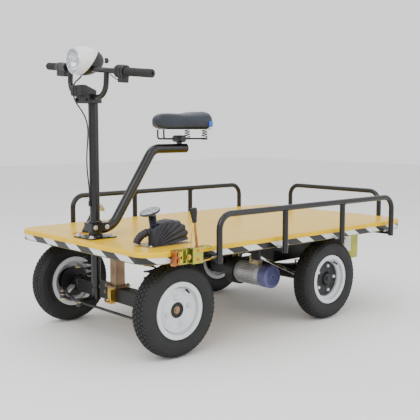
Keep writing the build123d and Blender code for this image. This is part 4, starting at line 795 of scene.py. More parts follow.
@dataclass
class Deck:
    """The pressed yellow deck and the striped apron below it.

    The stripes are counted along the apron, from right to left across the front. The counts at the ends of
    the front's bends set where each stripe falls.
    """

    side_x: float = 496.7
    front_y: float = -845.0
    rear_y: float = 808.4
    corner: float = 86.7
    lean_from: float = 431.0
    lean_over: float = 27.0
    side_pitch: float = 166.0
    bend_shrink: float = 17.0
    bend_steps: int = 12
    front_counts: tuple[float, float] = (-2.016, 2.455)
    left_bend_count: float = 3.19
    rear_bend_count: float = 12.265
    bracket_y: float = -640.0
    bracket_count: float = 4.063
    clip_at: Triple = (-151.0, -734.0, 451.6)

    def outline(self) -> list[tuple[Vector, Vector, float]]:
        """Goes round the apron from the middle of the rear edge, right side first.

        Returns:
            Rows of a point of the outer face, its outward direction and the count of stripes there.
        """
        inner_x = self.side_x - self.corner
        front, rear = self.front_y + self.corner, self.rear_y - self.corner
        quarter = math.pi / 2 * self.corner
        bend = (self.side_pitch - self.bend_shrink) / self.side_pitch * quarter / self.side_pitch
        run = (rear - front) / self.side_pitch
        right, left = self.front_counts
        rear_right, rear_left = right - 2 * bend - run, self.rear_bend_count
        middle, back = Vector((0, self.rear_y, 0)), Vector((0, 1, 0))
        rows = [(middle, back, rear_right - inner_x / self.side_pitch)]
        corners = (
            (-inner_x, rear, 90, rear_right, right - bend - run),
            (-inner_x, front, 180, right - bend, right),
            (inner_x, front, 270, left, self.left_bend_count),
            (inner_x, rear, 0, rear_left, rear_left + bend),
        )
        for x, y, start, first, last in corners:
            for step in range(self.bend_steps + 1):
                share = step / self.bend_steps
                angle = math.radians(start + 90 * share)
                out = Vector((math.cos(angle), math.sin(angle), 0))
                rows.append((Vector((x, y, 0)) + out * self.corner, out, first + (last - first) * share))
            if first == left:
                rows.append((Vector((self.side_x, self.bracket_y, 0)), Vector((1, 0, 0)), self.bracket_count))
        rows.append((middle, back, rear_left + bend + inner_x / self.side_pitch))
        return rows

    def apron(self) -> None:
        """Makes the striped apron, with its rolled lower edge and the yellow hem inside it."""
        stripes, hem = Draft(), Draft()
        for draft, section in (
            (stripes, ((0, 439), (0, 431), (0, 407.5), (-0.7, 405.4), (-2.2, 404.6), (-3, 406), (-3, 439))),
            (hem, ((0.7, 406.2), (0.9, 404.6), (0, 403.4), (-9, 403.4), (-9, 404.8), (-1, 405.2))),
        ):
            loops = []
            for spot, out, count in self.outline():
                ring = draft.loop([spot + out * offset + Vector((0, 0, z)) for offset, z in section])
                loops.append(ring)
                for number, (_, z) in zip(ring, section):
                    draft.marks[number] = (count, (self.lean_from - z) / self.lean_over)
            draft.skin(loops, capped=False)
        apron = stripes.piece("striped_apron", Finishes.APRON_ENAMEL, "chassis")
        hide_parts("deck_apron")
        hem.marks.clear()
        hem.piece("apron_hem", Finishes.HEM_ENAMEL, "chassis")

    def build(self) -> None:
        """Dresses the deck and makes the apron and the red clip."""
        dress(Finishes.DECK_ENAMEL, "deck_plate")
        self.apron()
        clip = Draft()
        clip.slab((11, 46, 3), place(self.clip_at, tilt=(0, 0, -18)), 1.2)
        clip.piece("red_clip", Finishes.RED_PLASTIC, "chassis")


@dataclass
class Rails:
    """The bent load rails, their feet and the frame under the deck."""

    tube_x: float = 538.0
    weld_x: float = 536.3
    foot_z: float = 404.0
    post_top: float = 562.0
    post_ys: tuple[float, ...] = (-523.2, -140.8, 247.4, 625.7)
    bolt_inset: float = 26.0
    bolt_half: float = 12.0

    def build(self) -> None:
        """Dresses rails and frame, and adds the posts' welds and the feet's bolts."""
        dress(Finishes.TUBE_COAT, "side_rails", "rear_rail")
        dress(Finishes.FRAME_PAINT, "chassis_frame", "spring_hangers")
        welds, bolts = Draft(), Draft()
        for side in Side:
            weld_x = side.value * self.weld_x
            for y in self.post_ys[1:-1]:
                axes = place((weld_x, y, self.post_top))
                welds.turn([(12.4, 0), (13.6, 3), (14.1, 6), (12.7, 9)], axes, 24, closed=True)
            for y in self.post_ys:
                axes = place((weld_x, y, self.foot_z))
                welds.turn([(12.3, 0), (14, 0.8), (13.7, 3.6), (12.3, 5)], axes, 24, closed=True)
                for along in (-self.bolt_half, self.bolt_half):
                    spot = (side.value * (self.tube_x - self.bolt_inset), y + along, self.foot_z)
                    bolts.bolt(place(spot), 10, 5)
        welds.piece("rail_welds", Finishes.TUBE_COAT, "chassis")
        bolts.piece("rail_foot_bolts", Finishes.BRIGHT_ZINC, "chassis")


@dataclass
class Wheel:
    """One wheel: tread blocks on a rounded tyre, and the rim's and hub's fine parts.

    Each row of blocks is its offset from the wheel's middle plane and its width. The half profile is rows of
    a radius and an offset.
    """

    end: str
    side: Side
    axle_y: float
    axle_z: float = 192.0
    middle_x: float = 393.0
    radius: float = 192.0
    crown_drop: float = 8.6
    crown_half: float = 33.0
    nut_circle: float = 55.0
    stud_circle: float = 62.0
    shaft_end: float = 20.5
    blocks: int = 60
    rows: tuple[tuple[float, float], ...] = ((-28.5, 8.5), (-14.2, 10.5), (0, 9.5), (14.2, 10.5), (28.5, 8.5))
    groove: float = 4.6
    half_profile: tuple[tuple[float, float], ...] = (
        (103.0, 28.0), (110.0, 31.2), (116.6, 32.6), (118.2, 36.4),
        (121.0, 39.6), (123.0, 41.6), (126.0, 42.2), (128.0, 41.4),
        (134.0, 43.0), (143.0, 44.4), (152.0, 44.9), (161.0, 44.0),
        (167.0, 42.7), (168.0, 43.3), (170.5, 42.6), (171.2, 41.4),
        (176.5, 38.4), (180.3, 34.6), (181.4, 32.8), (180.0, 31.4), (184.0, 22.0), (186.6, 11.0),
    )

    @property
    def name(self) -> str:
        """The wheel's place, as its nodes' names end."""
        return f"{self.end}_{self.side.word}"

    @property
    def body(self) -> str:
        """The body that the wheel turns with."""
        return f"wheel_{self.name}"

    @property
    def axes(self) -> Matrix:
        """Local axes with +Z outboard."""
        heading = Heading.LEFT if self.side is Side.LEFT else Heading.RIGHT
        return place((self.side.value * self.middle_x, self.axle_y, self.axle_z), heading)

    def crown(self, offset: float) -> float:
        """The tread's radius at a distance from the wheel's middle plane."""
        return self.radius - self.crown_drop * (offset / self.crown_half) ** 2

    def tread(self, tyre: Draft) -> None:
        """Adds the rows of blocks, each row half a step on from the last.

        Args:
            tyre: The tyre's draft.
        """
        pitch = 2 * math.pi / self.blocks
        axes = self.axes
        for row, (middle, half) in enumerate((offset, width / 2) for offset, width in self.rows):
            half = half if row % 2 else half + 0.6
            lean = 0.05 if row > 2 else -0.05
            levels = ((-self.groove, 0.39, half + 0.7), (-0.5, 0.37, half), (0, 0.345, half - 0.5))
            for step in range(self.blocks):
                turn = (step + 0.5 * (row % 2)) * pitch
                rings = []
                for lift, share, wide in levels:
                    corners = []
                    for across, along in ((-1, -1), (1, -1), (1, 1), (-1, 1)):
                        offset = middle + across * wide
                        angle = turn + (along * share + across * lean) * pitch
                        corners.append(polar(axes, self.crown(offset) + lift, angle, offset))
                    rings.append(tyre.loop(corners))
                tyre.skin(rings)

    def shoulder_ribs(self, tyre: Draft) -> None:
        """Adds the short ribs that run down from the tread over each shoulder.

        Args:
            tyre: The tyre's draft.
        """
        pitch = 2 * math.pi / self.blocks
        axes = self.axes
        section = ((-0.28, -1.5), (-0.22, 0.9), (0.22, 0.9), (0.28, -1.5))
        for sign in (-1, 1):
            for step in range(self.blocks):
                turn = (step + 0.25) * pitch
                rings = []
                for radius, offset in ((183.2, 33.4), (179.6, 36.2), (174.5, 40.2)):
                    corners = []
                    for along, out in section:
                        height = sign * (offset + out * 0.7)
                        corners.append(polar(axes, radius + out * 0.6, turn + along * pitch, height))
                    rings.append(tyre.loop(corners))
                tyre.skin(rings)

    def build_tyre(self) -> None:
        """Makes the tyre in place of its plain solid."""
        tyre = Draft()
        outer = list(self.half_profile)
        profile = outer + [(187.2, 0.0)] + [(r, -z) for r, z in reversed(outer)]
        tyre.turn(profile, self.axes, 96, closed=True)
        self.tread(tyre)
        self.shoulder_ribs(tyre)
        made = tyre.piece(f"tread_{self.name}", Finishes.TYRE_RUBBER, self.body, 28)
        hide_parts(f"tyre_{self.name}")

    def around(self, radius: float, height: float, count: int, first: float = 0.0) -> list[Matrix]:
        """Places a ring of bolts on the wheel.

        Args:
            radius: The ring's radius.
            height: How far outboard it is.
            count: How many bolts it has.
            first: Where the first one is, in degrees.

        Returns:
            The local axes of each bolt.
        """
        flat = Matrix.Identity(4)
        spots = [polar(flat, radius, math.radians(first) + turn, height) for turn in circle(count)]
        return [self.axes @ Matrix.Translation(spot) for spot in spots]

    def build_front_fittings(self) -> None:
        """Adds the disc's embossed rings, four nuts in their dimples and the hub's end."""
        rings, nuts, cap = Draft(), Draft(), Draft()
        for profile in (
            ((70, 16.8), (71.5, 18.6), (74, 19), (76, 17), (75, 16.6)),
            ((36, 16.8), (37, 18.4), (39.5, 18.4), (41, 16.8)),
            ((82, 16.6), (84.5, 18.4), (87.5, 20.5), (89.6, 24), (89.6, 16.6)),
        ):
            rings.turn(profile, self.axes, 72, closed=True)
        for axes in self.around(self.nut_circle, 16.6, 4, 12):
            rings.turn(((7, 0), (13.5, 0.2), (12.4, 3.2), (9.5, 4.4), (7, 3)), axes, 28, closed=True)
            nuts.turn(((8.2, 3), (8.4, 8), (7, 11), (4.6, 12.6), (0, 13.2)), axes, 24)
        for profile in (
            ((24, 15), (31, 15), (31, 18.2), (29.4, 19.4), (26.5, 19.2), (25.6, 16.2), (24, 16)),
            ((17.5, 15), (22.5, 15), (22.5, 16.6), (17.5, 16.9)),
        ):
            cap.turn(profile, self.axes, 48, closed=True)
        rings.piece(f"rim_rings_{self.name}", Finishes.RIM_ENAMEL, self.body)
        nuts.piece(f"wheel_nuts_{self.name}", Finishes.BRIGHT_ZINC, self.body)
        cap.piece(f"hub_rings_{self.name}", Finishes.CAST_PAINT, self.body)
        centre = Draft()
        centre.turn(((15.5, 15), (15.5, 16), (12, 16.4), (12, 15.4), (0, 15.4)), self.axes, 36)
        centre.bolt(self.axes @ Matrix.Translation((0, 0, 15.2)), 17, 5, washer=False)
        centre.piece(f"axle_nut_{self.name}", Finishes.OLIVE_ZINC, self.body)

    def build_rear_fittings(self) -> None:
        """Adds the rim's rings, five stud heads and the black plate with the shaft's end."""
        rings, studs, plate = Draft(), Draft(), Draft()
        rings.turn(
            ((89.4, -3), (92, 5), (95, 12), (99, 20), (97, 21), (92, 13), (89, 5)), self.axes, 72, closed=True
        )
        rings.turn(((101.5, 24), (103.5, 25.5), (105, 28), (102, 28)), self.axes, 72, closed=True)
        for axes in self.around(self.stud_circle, 3, 5, 20):
            studs.turn(((8.5, 0), (8.5, 5.5), (6.6, 8.6), (3.5, 10.4), (0, 10.8)), axes, 24)
        plate.turn(((76, 3), (82.5, 3), (82, 5), (79, 5.6), (76.5, 4.8)), self.axes, 64, closed=True)
        plate.turn(((30, 3), (44, 3), (38, 5), (32, 10)), self.axes, 48, closed=True)
        plate.bolt(self.axes @ Matrix.Translation((0, 0, self.shaft_end)), 19, 5)
        rings.piece(f"rim_rings_{self.name}", Finishes.RIM_ENAMEL, self.body)
        studs.piece(f"wheel_studs_{self.name}", Finishes.BRIGHT_ZINC, self.body)
        plate.piece(f"hub_plate_rings_{self.name}", Finishes.CAST_PAINT, self.body)

    def build_valve(self) -> None:
        """Adds the rubber valve stem with its cap, leaning out of the rim."""
        turn = 150 if self.side is Side.LEFT else 30
        turned = self.axes @ Matrix.Rotation(math.radians(turn), 4, "Z")
        base, tip = turned @ Vector((88, 0, 22)), turned @ Vector((80, 0, 44))
        stem = Draft()
        outline = ((5, 0), (4.6, 7), (3.2, 11), (3.2, 16), (4, 16.4), (4, 22.5), (3.2, 23.6), (0, 23.8))
        stem.turn(outline, aim(base, tip), 18)
        stem.piece(f"valve_{self.name}", Finishes.GRIP_RUBBER, self.body)

    def build(self) -> None:
        """Builds and dresses the whole wheel."""
        dress(Finishes.RIM_ENAMEL, f"rim_{self.name}")
        dress(Finishes.CAST_PAINT, f"hub_{self.name}")
        self.build_tyre()
        if self.end == "front":
            self.build_front_fittings()
        else:
            self.build_rear_fittings()
        self.build_valve()


@dataclass
class FrontAxle:
    """The front beam with its post, springs, knuckles and steering rods. The arm is drawn as (y, z)."""

    ball_x: float = 320.0
    ball_y: float = -718.25
    pitman_y: float = -829.25
    arm: tuple[tuple[float, float], ...] = (
        (-660, 184.6), (-669.6, 184.6), (-697.6, 160.6), (-705, 160.6),
        (-705, 149.4), (-693, 149.4), (-665, 173.4), (-660, 173.4),
    )
    arm_half: float = 11.5
    kingpin_y: float = -633.25
    kingpin_top: float = 262.0
    tie_cap_z: float = 132.0
    post_bolts: float = 32.0
    flange_top: float = 230.0
    strap_front: float = -688.4

    def joint_boot(self, draft: Draft, x: float, y: float, low: float, high: float) -> None:
        """Adds a ball joint's dust boot between an arm and an eye.

        Args:
            draft: The boot's draft.
            x: The ball's place across the truck.
            y: The ball's place along it.
            low: The boot's foot.
            high: Its top.
        """
        middle = (low + high) / 2
        profile = ((5.2, low + 0.2), (10, low + 0.2), (12.4, middle), (10.5, high - 0.2), (5.2, high - 0.2))
        draft.turn(profile, place((x, y, 0)), 28, closed=True)

    def build(self) -> None:
        """Dresses the axle and adds boots, nuts and bolts."""
        dress(Finishes.CAST_PAINT, "front_axle_beam", "knuckle_left", "knuckle_right")
        dress(Finishes.OLIVE_ZINC, "front_axle_post")
        dress(Finishes.YELLOW_ZINC, "front_beam_strap")
        dress(Finishes.SPRING_PAINT, "front_springs")
        dress(Finishes.ROD_STEEL, "tie_rod", "drag_link")
        for side in Side:
            boots, nuts = Draft(), Draft()
            x = side.value * self.ball_x
            self.joint_boot(boots, x, self.ball_y, 143.7, 149.9)
            if side is Side.RIGHT:
                self.joint_boot(boots, x, self.ball_y, 160.1, 166.2)
            below = place((x, self.ball_y, self.tie_cap_z), Heading.DOWN)
            nuts.turn(((10.5, 0), (12, 1.5), (12, 11), (9, 14.5), (0, 15)), below, 28)
            above = place((x, self.kingpin_y, self.kingpin_top))
            boots.turn(((8.2, 0), (13.5, 0), (14, 4), (11, 8), (0, 9)), above, 28)
            boots.piece(f"ball_boots_{side.word}", Finishes.CREAM_RUBBER, f"knuckle_{side.word}")
            nuts.piece(f"ball_caps_{side.word}", Finishes.CREAM_RUBBER, f"knuckle_{side.word}")
            arm = Draft()
            edges = (x - self.arm_half, x + self.arm_half)
            arm.skin([arm.loop([Vector((edge, y, z)) for y, z in self.arm]) for edge in edges])
            arm.piece(f"steering_arm_{side.word}", Finishes.BRIGHT_ZINC, f"knuckle_{side.word}")
        pitman = Draft()
        self.joint_boot(pitman, 0, self.pitman_y, 180.4, 186.2)
        pitman.piece("pitman_boot", Finishes.CREAM_RUBBER, "steering")
        bolts = Draft()
        for along in (-self.post_bolts, self.post_bolts):
            for across in (-self.post_bolts, self.post_bolts):
                bolts.bolt(place((across, self.kingpin_y + along, self.flange_top)), 10, 6)
        for z in (170, 206):
            bolts.bolt(place((-14, self.strap_front, z), Heading.FRONT), 9, 4)
        bolts.piece("axle_bolts", Finishes.OLIVE_ZINC, "chassis")


@dataclass
class Column:
    """The steering column, its base plate and the collar of the seat tube."""

    y: float = -744.25
    base_top: float = 456.0
    sleeve_top: float = 516.5
    bolt_reach: float = 51.0
    bolt_skew: float = 11.0
    collar_x: float = 33.0
    collar_bolts: tuple[tuple[float, float], ...] = ((-764.0, 496.0), (-706.0, 496.0))
    plug_at: Triple = (20.6, -603.0, 568.5)

    def build(self) -> None:
        """Dresses the column and adds its bolts, the seat tube's plug and the welds."""
        dress(Finishes.TUBE_COAT, "steering_column", "column_base", "seat_collar", "seat_tube")
        bolts, welds = Draft(), Draft()
        for across in (-1, 1):
            for along in (-1, 1):
                spot = (across * self.bolt_reach, self.y + along * self.bolt_reach, self.base_top)
                bolts.bolt(place(spot, tilt=(0, 0, self.bolt_skew * across)), 15, 9)
            for y, z in self.collar_bolts:
                heading = Heading.LEFT if across > 0 else Heading.RIGHT
                bolts.bolt(place((across * self.collar_x, y, z), heading), 11, 6)
        bolts.piece("column_bolts", Finishes.BRIGHT_ZINC, "chassis")
        plug = Draft()
        disc = ((0, 0), (4.6, 0), (5.4, 0.7), (4.4, 1.6), (2.6, 0.9), (0, 0.9))
        plug.turn(disc, place(self.plug_at, Heading.LEFT), 20)
        plug.piece("seat_tube_plug", Finishes.GRIP_RUBBER, "chassis")
        for height, bead in (
            (self.base_top, ((27.5, -0.5), (34, 0), (31.5, 4), (27.8, 7))),
            (self.sleeve_top, ((22.2, 0), (29, 0), (29, 3), (25, 6.5), (22.2, 6.5))),
        ):
            welds.turn(bead, place((0, self.y, height)), 40, closed=True)
        welds.piece("column_welds", Finishes.TUBE_COAT, "chassis")


@dataclass
class Handlebar:
    """The handlebar, which sits askew on the column, with its grips, pods, clamp and console.

    Each grip is its side and its length. Each seam is its side, its inner and outer radius, and where it
    starts and ends along the bar.
    """

    y: float = -772.25
    bar_z: float = 1152.5
    loop_z: float = 1042.5
    roll: float = 5.5
    knee: float = 135.0
    reach: float = 380.0
    sweep: float = 38.0
    rib_pitch: float = 3.6
    grips: tuple[tuple[Side, float], ...] = ((Side.LEFT, 136.0), (Side.RIGHT, 114.0))
    seams: tuple[tuple[Side, float, float, float, float], ...] = (
        (Side.LEFT, 24.8, 26.2, 150.0, 155.0), (Side.LEFT, 24.8, 26.2, 168.0, 173.0),
        (Side.RIGHT, 19.8, 21.0, 146.0, 150.0),
    )
    clamp_front: float = -800.4
    console_front: float = -831.4

    def lean(self) -> Matrix:
        """The bar's roll about its clamp.

        Returns:
            The matrix from a level bar to the real one.
        """
        pivot = Vector((0, self.y, self.loop_z))
        turn = Matrix.Rotation(math.radians(self.roll), 4, "Y")
        return Matrix.Translation(pivot) @ turn @ Matrix.Translation(-pivot)

    def hand(self, side: Side) -> Matrix:
        """Local axes at one end of the bar, with +Z inwards along it."""
        end = Vector((side.value * self.reach, self.y + self.sweep, self.bar_z))
        return self.lean() @ aim(end, (side.value * self.knee, self.y, self.bar_z))

    def grip_profile(self, length: float) -> list[tuple[float, float]]:
        """The ribbed outline of a grip, from its closed end to its flange.

        Args:
            length: The grip's length.

        Returns:
            (radius, height) pairs of the outline.
        """
        outline = [(5.0, -4.0), (13.5, -4.0), (16.2, -2.6), (16.5, 0.0)]
        low = 6.0
        while low < length - 9:
            outline += [(15.7, low), (16.4, low + 0.9), (16.4, low + 2.3), (15.7, low + 3.1)]
            low += self.rib_pitch
        flange = [(16.4, length - 5), (18.0, length - 3), (18.0, length + 0.5)]
        return outline + flange + [(11.4, length + 0.5), (11.4, 2.0), (5.0, 1.0)]

    def build(self) -> None:
        """Dresses bar, clamp, console and pods, and makes the grips, seams and screws."""
        dress(Finishes.TUBE_COAT, "handlebar")
        dress(Finishes.CAST_PAINT, "handlebar_clamp")
        dress(Finishes.SWITCH_ABS, "control_console", "control_perches")
        for side, length in self.grips:
            grip = Draft()
            grip.turn(self.grip_profile(length), self.hand(side), 32, closed=True)
            made = grip.piece(f"ribbed_grip_{side.word}", Finishes.GRIP_RUBBER, "steering", 50)
            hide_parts("grips")
        screws, seams = Draft(), Draft()
        for side, inner, outer, low, high in self.seams:
            ring = ((inner, low), (outer, low), (outer, high), (inner, high))
            seams.turn(ring, self.hand(side), 40, closed=True)
        seams.piece("pod_seams", Finishes.SWITCH_ABS, "steering")
        for across in (-1, 1):
            screws.bolt(place((across * 36, self.clamp_front, 1028), Heading.FRONT), 10, 6)
        for across in (-1, 1):
            spot = place((across * 26, self.console_front, 1052), Heading.FRONT)
            screws.turn(((3.4, 0), (3.2, 1.6), (1.6, 2.2), (0, 1.4)), spot, 16)
        screws.piece("clamp_screws", Finishes.ROD_STEEL, "steering")


@dataclass
class Headlamp:
    """The white lamp: chrome ring, faceted reflector, bulb and key.

    Each row is a share of the mouth and a depth.
    """

    face: Triple = (0.0, -836.25, 1181.0)
    tilt: float = -86.0
    mouth: float = 47.4
    key_middle: float = 162.0
    key_radius: float = 12.0
    facets: int = 18
    rows: tuple[tuple[float, float], ...] = (
        (0.8, 6.0), (0.76, 11.5), (0.68, 17.5), (0.58, 23.0), (0.45, 28.0), (0.3, 31.0), (0.16, 32.2)
    )

    @property
    def axes(self) -> Matrix:
        """Local axes with +Z backwards along the lamp."""
        return place(self.face, tilt=(self.tilt, 0, 0))

    def reflector(self) -> None:
        """Makes the bowl of flat facets, turned by half a facet from row to row."""
        bowl = Draft()
        loops = []
        for row, (share, depth) in enumerate(self.rows):
            ring = []
            for step in range(self.facets):
                angle = (step + 0.5 * (row % 2)) * 2 * math.pi / self.facets
                ring.append(polar(self.axes, self.mouth * share, angle, depth))
            loops.append(bowl.loop(ring))
        for row, (outer, inner) in enumerate(zip(loops, loops[1:])):
            for i in range(self.facets):
                j = (i + 1) % self.facets
                if row % 2:
                    bowl.faces += [(outer[i], outer[j], inner[j]), (outer[i], inner[j], inner[i])]
                else:
                    bowl.faces += [(outer[i], outer[j], inner[i]), (outer[j], inner[j], inner[i])]
        bowl.faces.append(tuple(loops[-1]))
        bowl.piece("lamp_reflector", Finishes.CHROME, "steering", 4)

    def build(self) -> None:
        """Dresses the lamp and adds what is inside and round its face."""
        dress(Finishes.LAMP_ABS, "headlamp_shell")
        dress(Finishes.SWITCH_ABS, "headlamp_foot")
        dress(Finishes.LAMP_LENS, "headlamp_lens")
        self.reflector()
        ring, bulb, key = Draft(), Draft(), Draft()
        ring.turn(
            ((47.9, 0.4), (48.4, -1.5), (49.8, -1.9), (51, -1.0), (51.3, 0.6)), self.axes, 72, closed=True
        )
        ring.piece("lamp_ring", Finishes.CHROME, "steering")
        glass = ((8.5, 32), (8.5, 26), (6, 24), (7.5, 20), (7.8, 16), (6, 12), (2.5, 10.4), (0, 10))
        bulb.turn(glass, self.axes, 28)
        bulb.piece("lamp_bulb", Finishes.BULB_GLASS, "steering")
        key.turn(((9.4, 143), (9.4, 146.4), (7.5, 147), (3.6, 147), (3.6, 153), (0, 153)), self.axes, 32)
        key.piece("key_barrel", Finishes.CHROME, "steering")
        bezel, head = Draft(), Draft()
        bezel.turn(((38, 6.4), (39.5, 4.4), (47.2, 4.0), (47.2, 7.0), (38, 7.4)), self.axes, 64, closed=True)
        bezel.piece("lamp_bezel", Finishes.LAMP_ABS, "steering")
        size = self.key_radius
        bends = [math.pi * i / 10 for i in range(11)]
        disc = [(size * math.sin(bend), self.key_middle - size * math.cos(bend)) for bend in bends]
        head.turn(disc, self.axes @ Matrix.Diagonal((0.5, 1, 1, 1)), 32)
        made = head.piece("key_head", Finishes.SWITCH_ABS, "steering", 50)
        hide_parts("ignition_key")


@dataclass
class Saddle:
    """The padded saddle: a crowned cover, a black tray below it and a blue reflector at the tail.

    Each station is its y, its half width, and its lowest and highest point above the base.
    """

    base_z: float = 905.0
    stations: tuple[tuple[float, float, float, float], ...] = (
        (-428.0, 10.0, 31.0, 42.0), (-424.0, 19.0, 18.0, 53.0),
        (-414.0, 27.0, 9.0, 62.0), (-397.0, 33.0, 3.5, 70.0),
        (-372.0, 40.0, 0.5, 74.0), (-340.0, 50.0, 0.0, 74.0),
        (-305.0, 63.0, 0.0, 72.5), (-270.0, 77.0, 0.0, 73.0),
        (-235.0, 89.0, 0.0, 77.5), (-205.0, 97.5, 0.5, 82.5),
        (-180.0, 101.0, 1.0, 85.0), (-162.0, 97.0, 3.0, 82.5),
        (-152.5, 84.0, 9.0, 75.0), (-148.0, 62.0, 20.0, 62.0),
    )
    around: int = 36
    valley: float = 2.4
    tray: tuple[tuple[float, float], ...] = ((-1, 4), (-0.97, 0.4), (0.97, 0.4), (1, 4))
    reflector_at: Triple = (98.2, -173.5, 930.0)

    def section(self, y: float, half: float, low: float, high: float) -> list[Vector]:
        """One ring of the cover: upright sides below, a broad crown above with a faint hollow along it.

        Args:
            y: Where the ring is.
            half: Half its width.
            low: Its lowest point above the base.
            high: Its highest point above the base.

        Returns:
            The ring's points.
        """
        ring = []
        waist = low + (high - low) * 0.42
        for step in range(self.around):
            angle = 2 * math.pi * step / self.around
            across, up = math.cos(angle), math.sin(angle)
            x = half * math.copysign(abs(across) ** (0.62 if up >= 0 else 0.42), across)
            if up >= 0:
                z = waist + (high - waist) * up ** 0.8
                z -= self.valley * math.exp(-((x / (half * 0.35)) ** 2)) * (half / 100) * up
            else:
                z = waist - (waist - low) * abs(up) ** 0.45
                x *= 1 - 0.05 * abs(up)
            ring.append(Vector((x, y, self.base_z + z)))
        return ring

    def build(self) -> None:
        """Makes the cover and its trim, and dresses the frame and springs."""
        dress(Finishes.SPRING_PAINT, "saddle_frame", "saddle_springs")
        cover, tray, badge = Draft(), Draft(), Draft()
        cover.skin([cover.loop(self.section(*station)) for station in self.stations])
        made = cover.piece("saddle_cover", Finishes.SADDLE_COVER, "chassis", 60)
        rounding = made.modifiers.new("rounding", "SUBSURF")
        rounding.levels = rounding.render_levels = 2
        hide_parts("saddle")
        rings = []
        for y, half, low, _ in self.stations[4:-1]:
            width = half * 0.93
            rings.append(tray.loop([Vector((x * width, y, self.base_z + z)) for x, z in self.tray]))
        tray.skin(rings)
        tray.piece("saddle_tray", Finishes.SWITCH_ABS, "chassis")
        badge.slab((5, 30, 26), place(self.reflector_at, tilt=(0, -2, 14)), 2)
        badge.piece("saddle_reflector", Finishes.BLUE_REFLECTOR, "chassis")


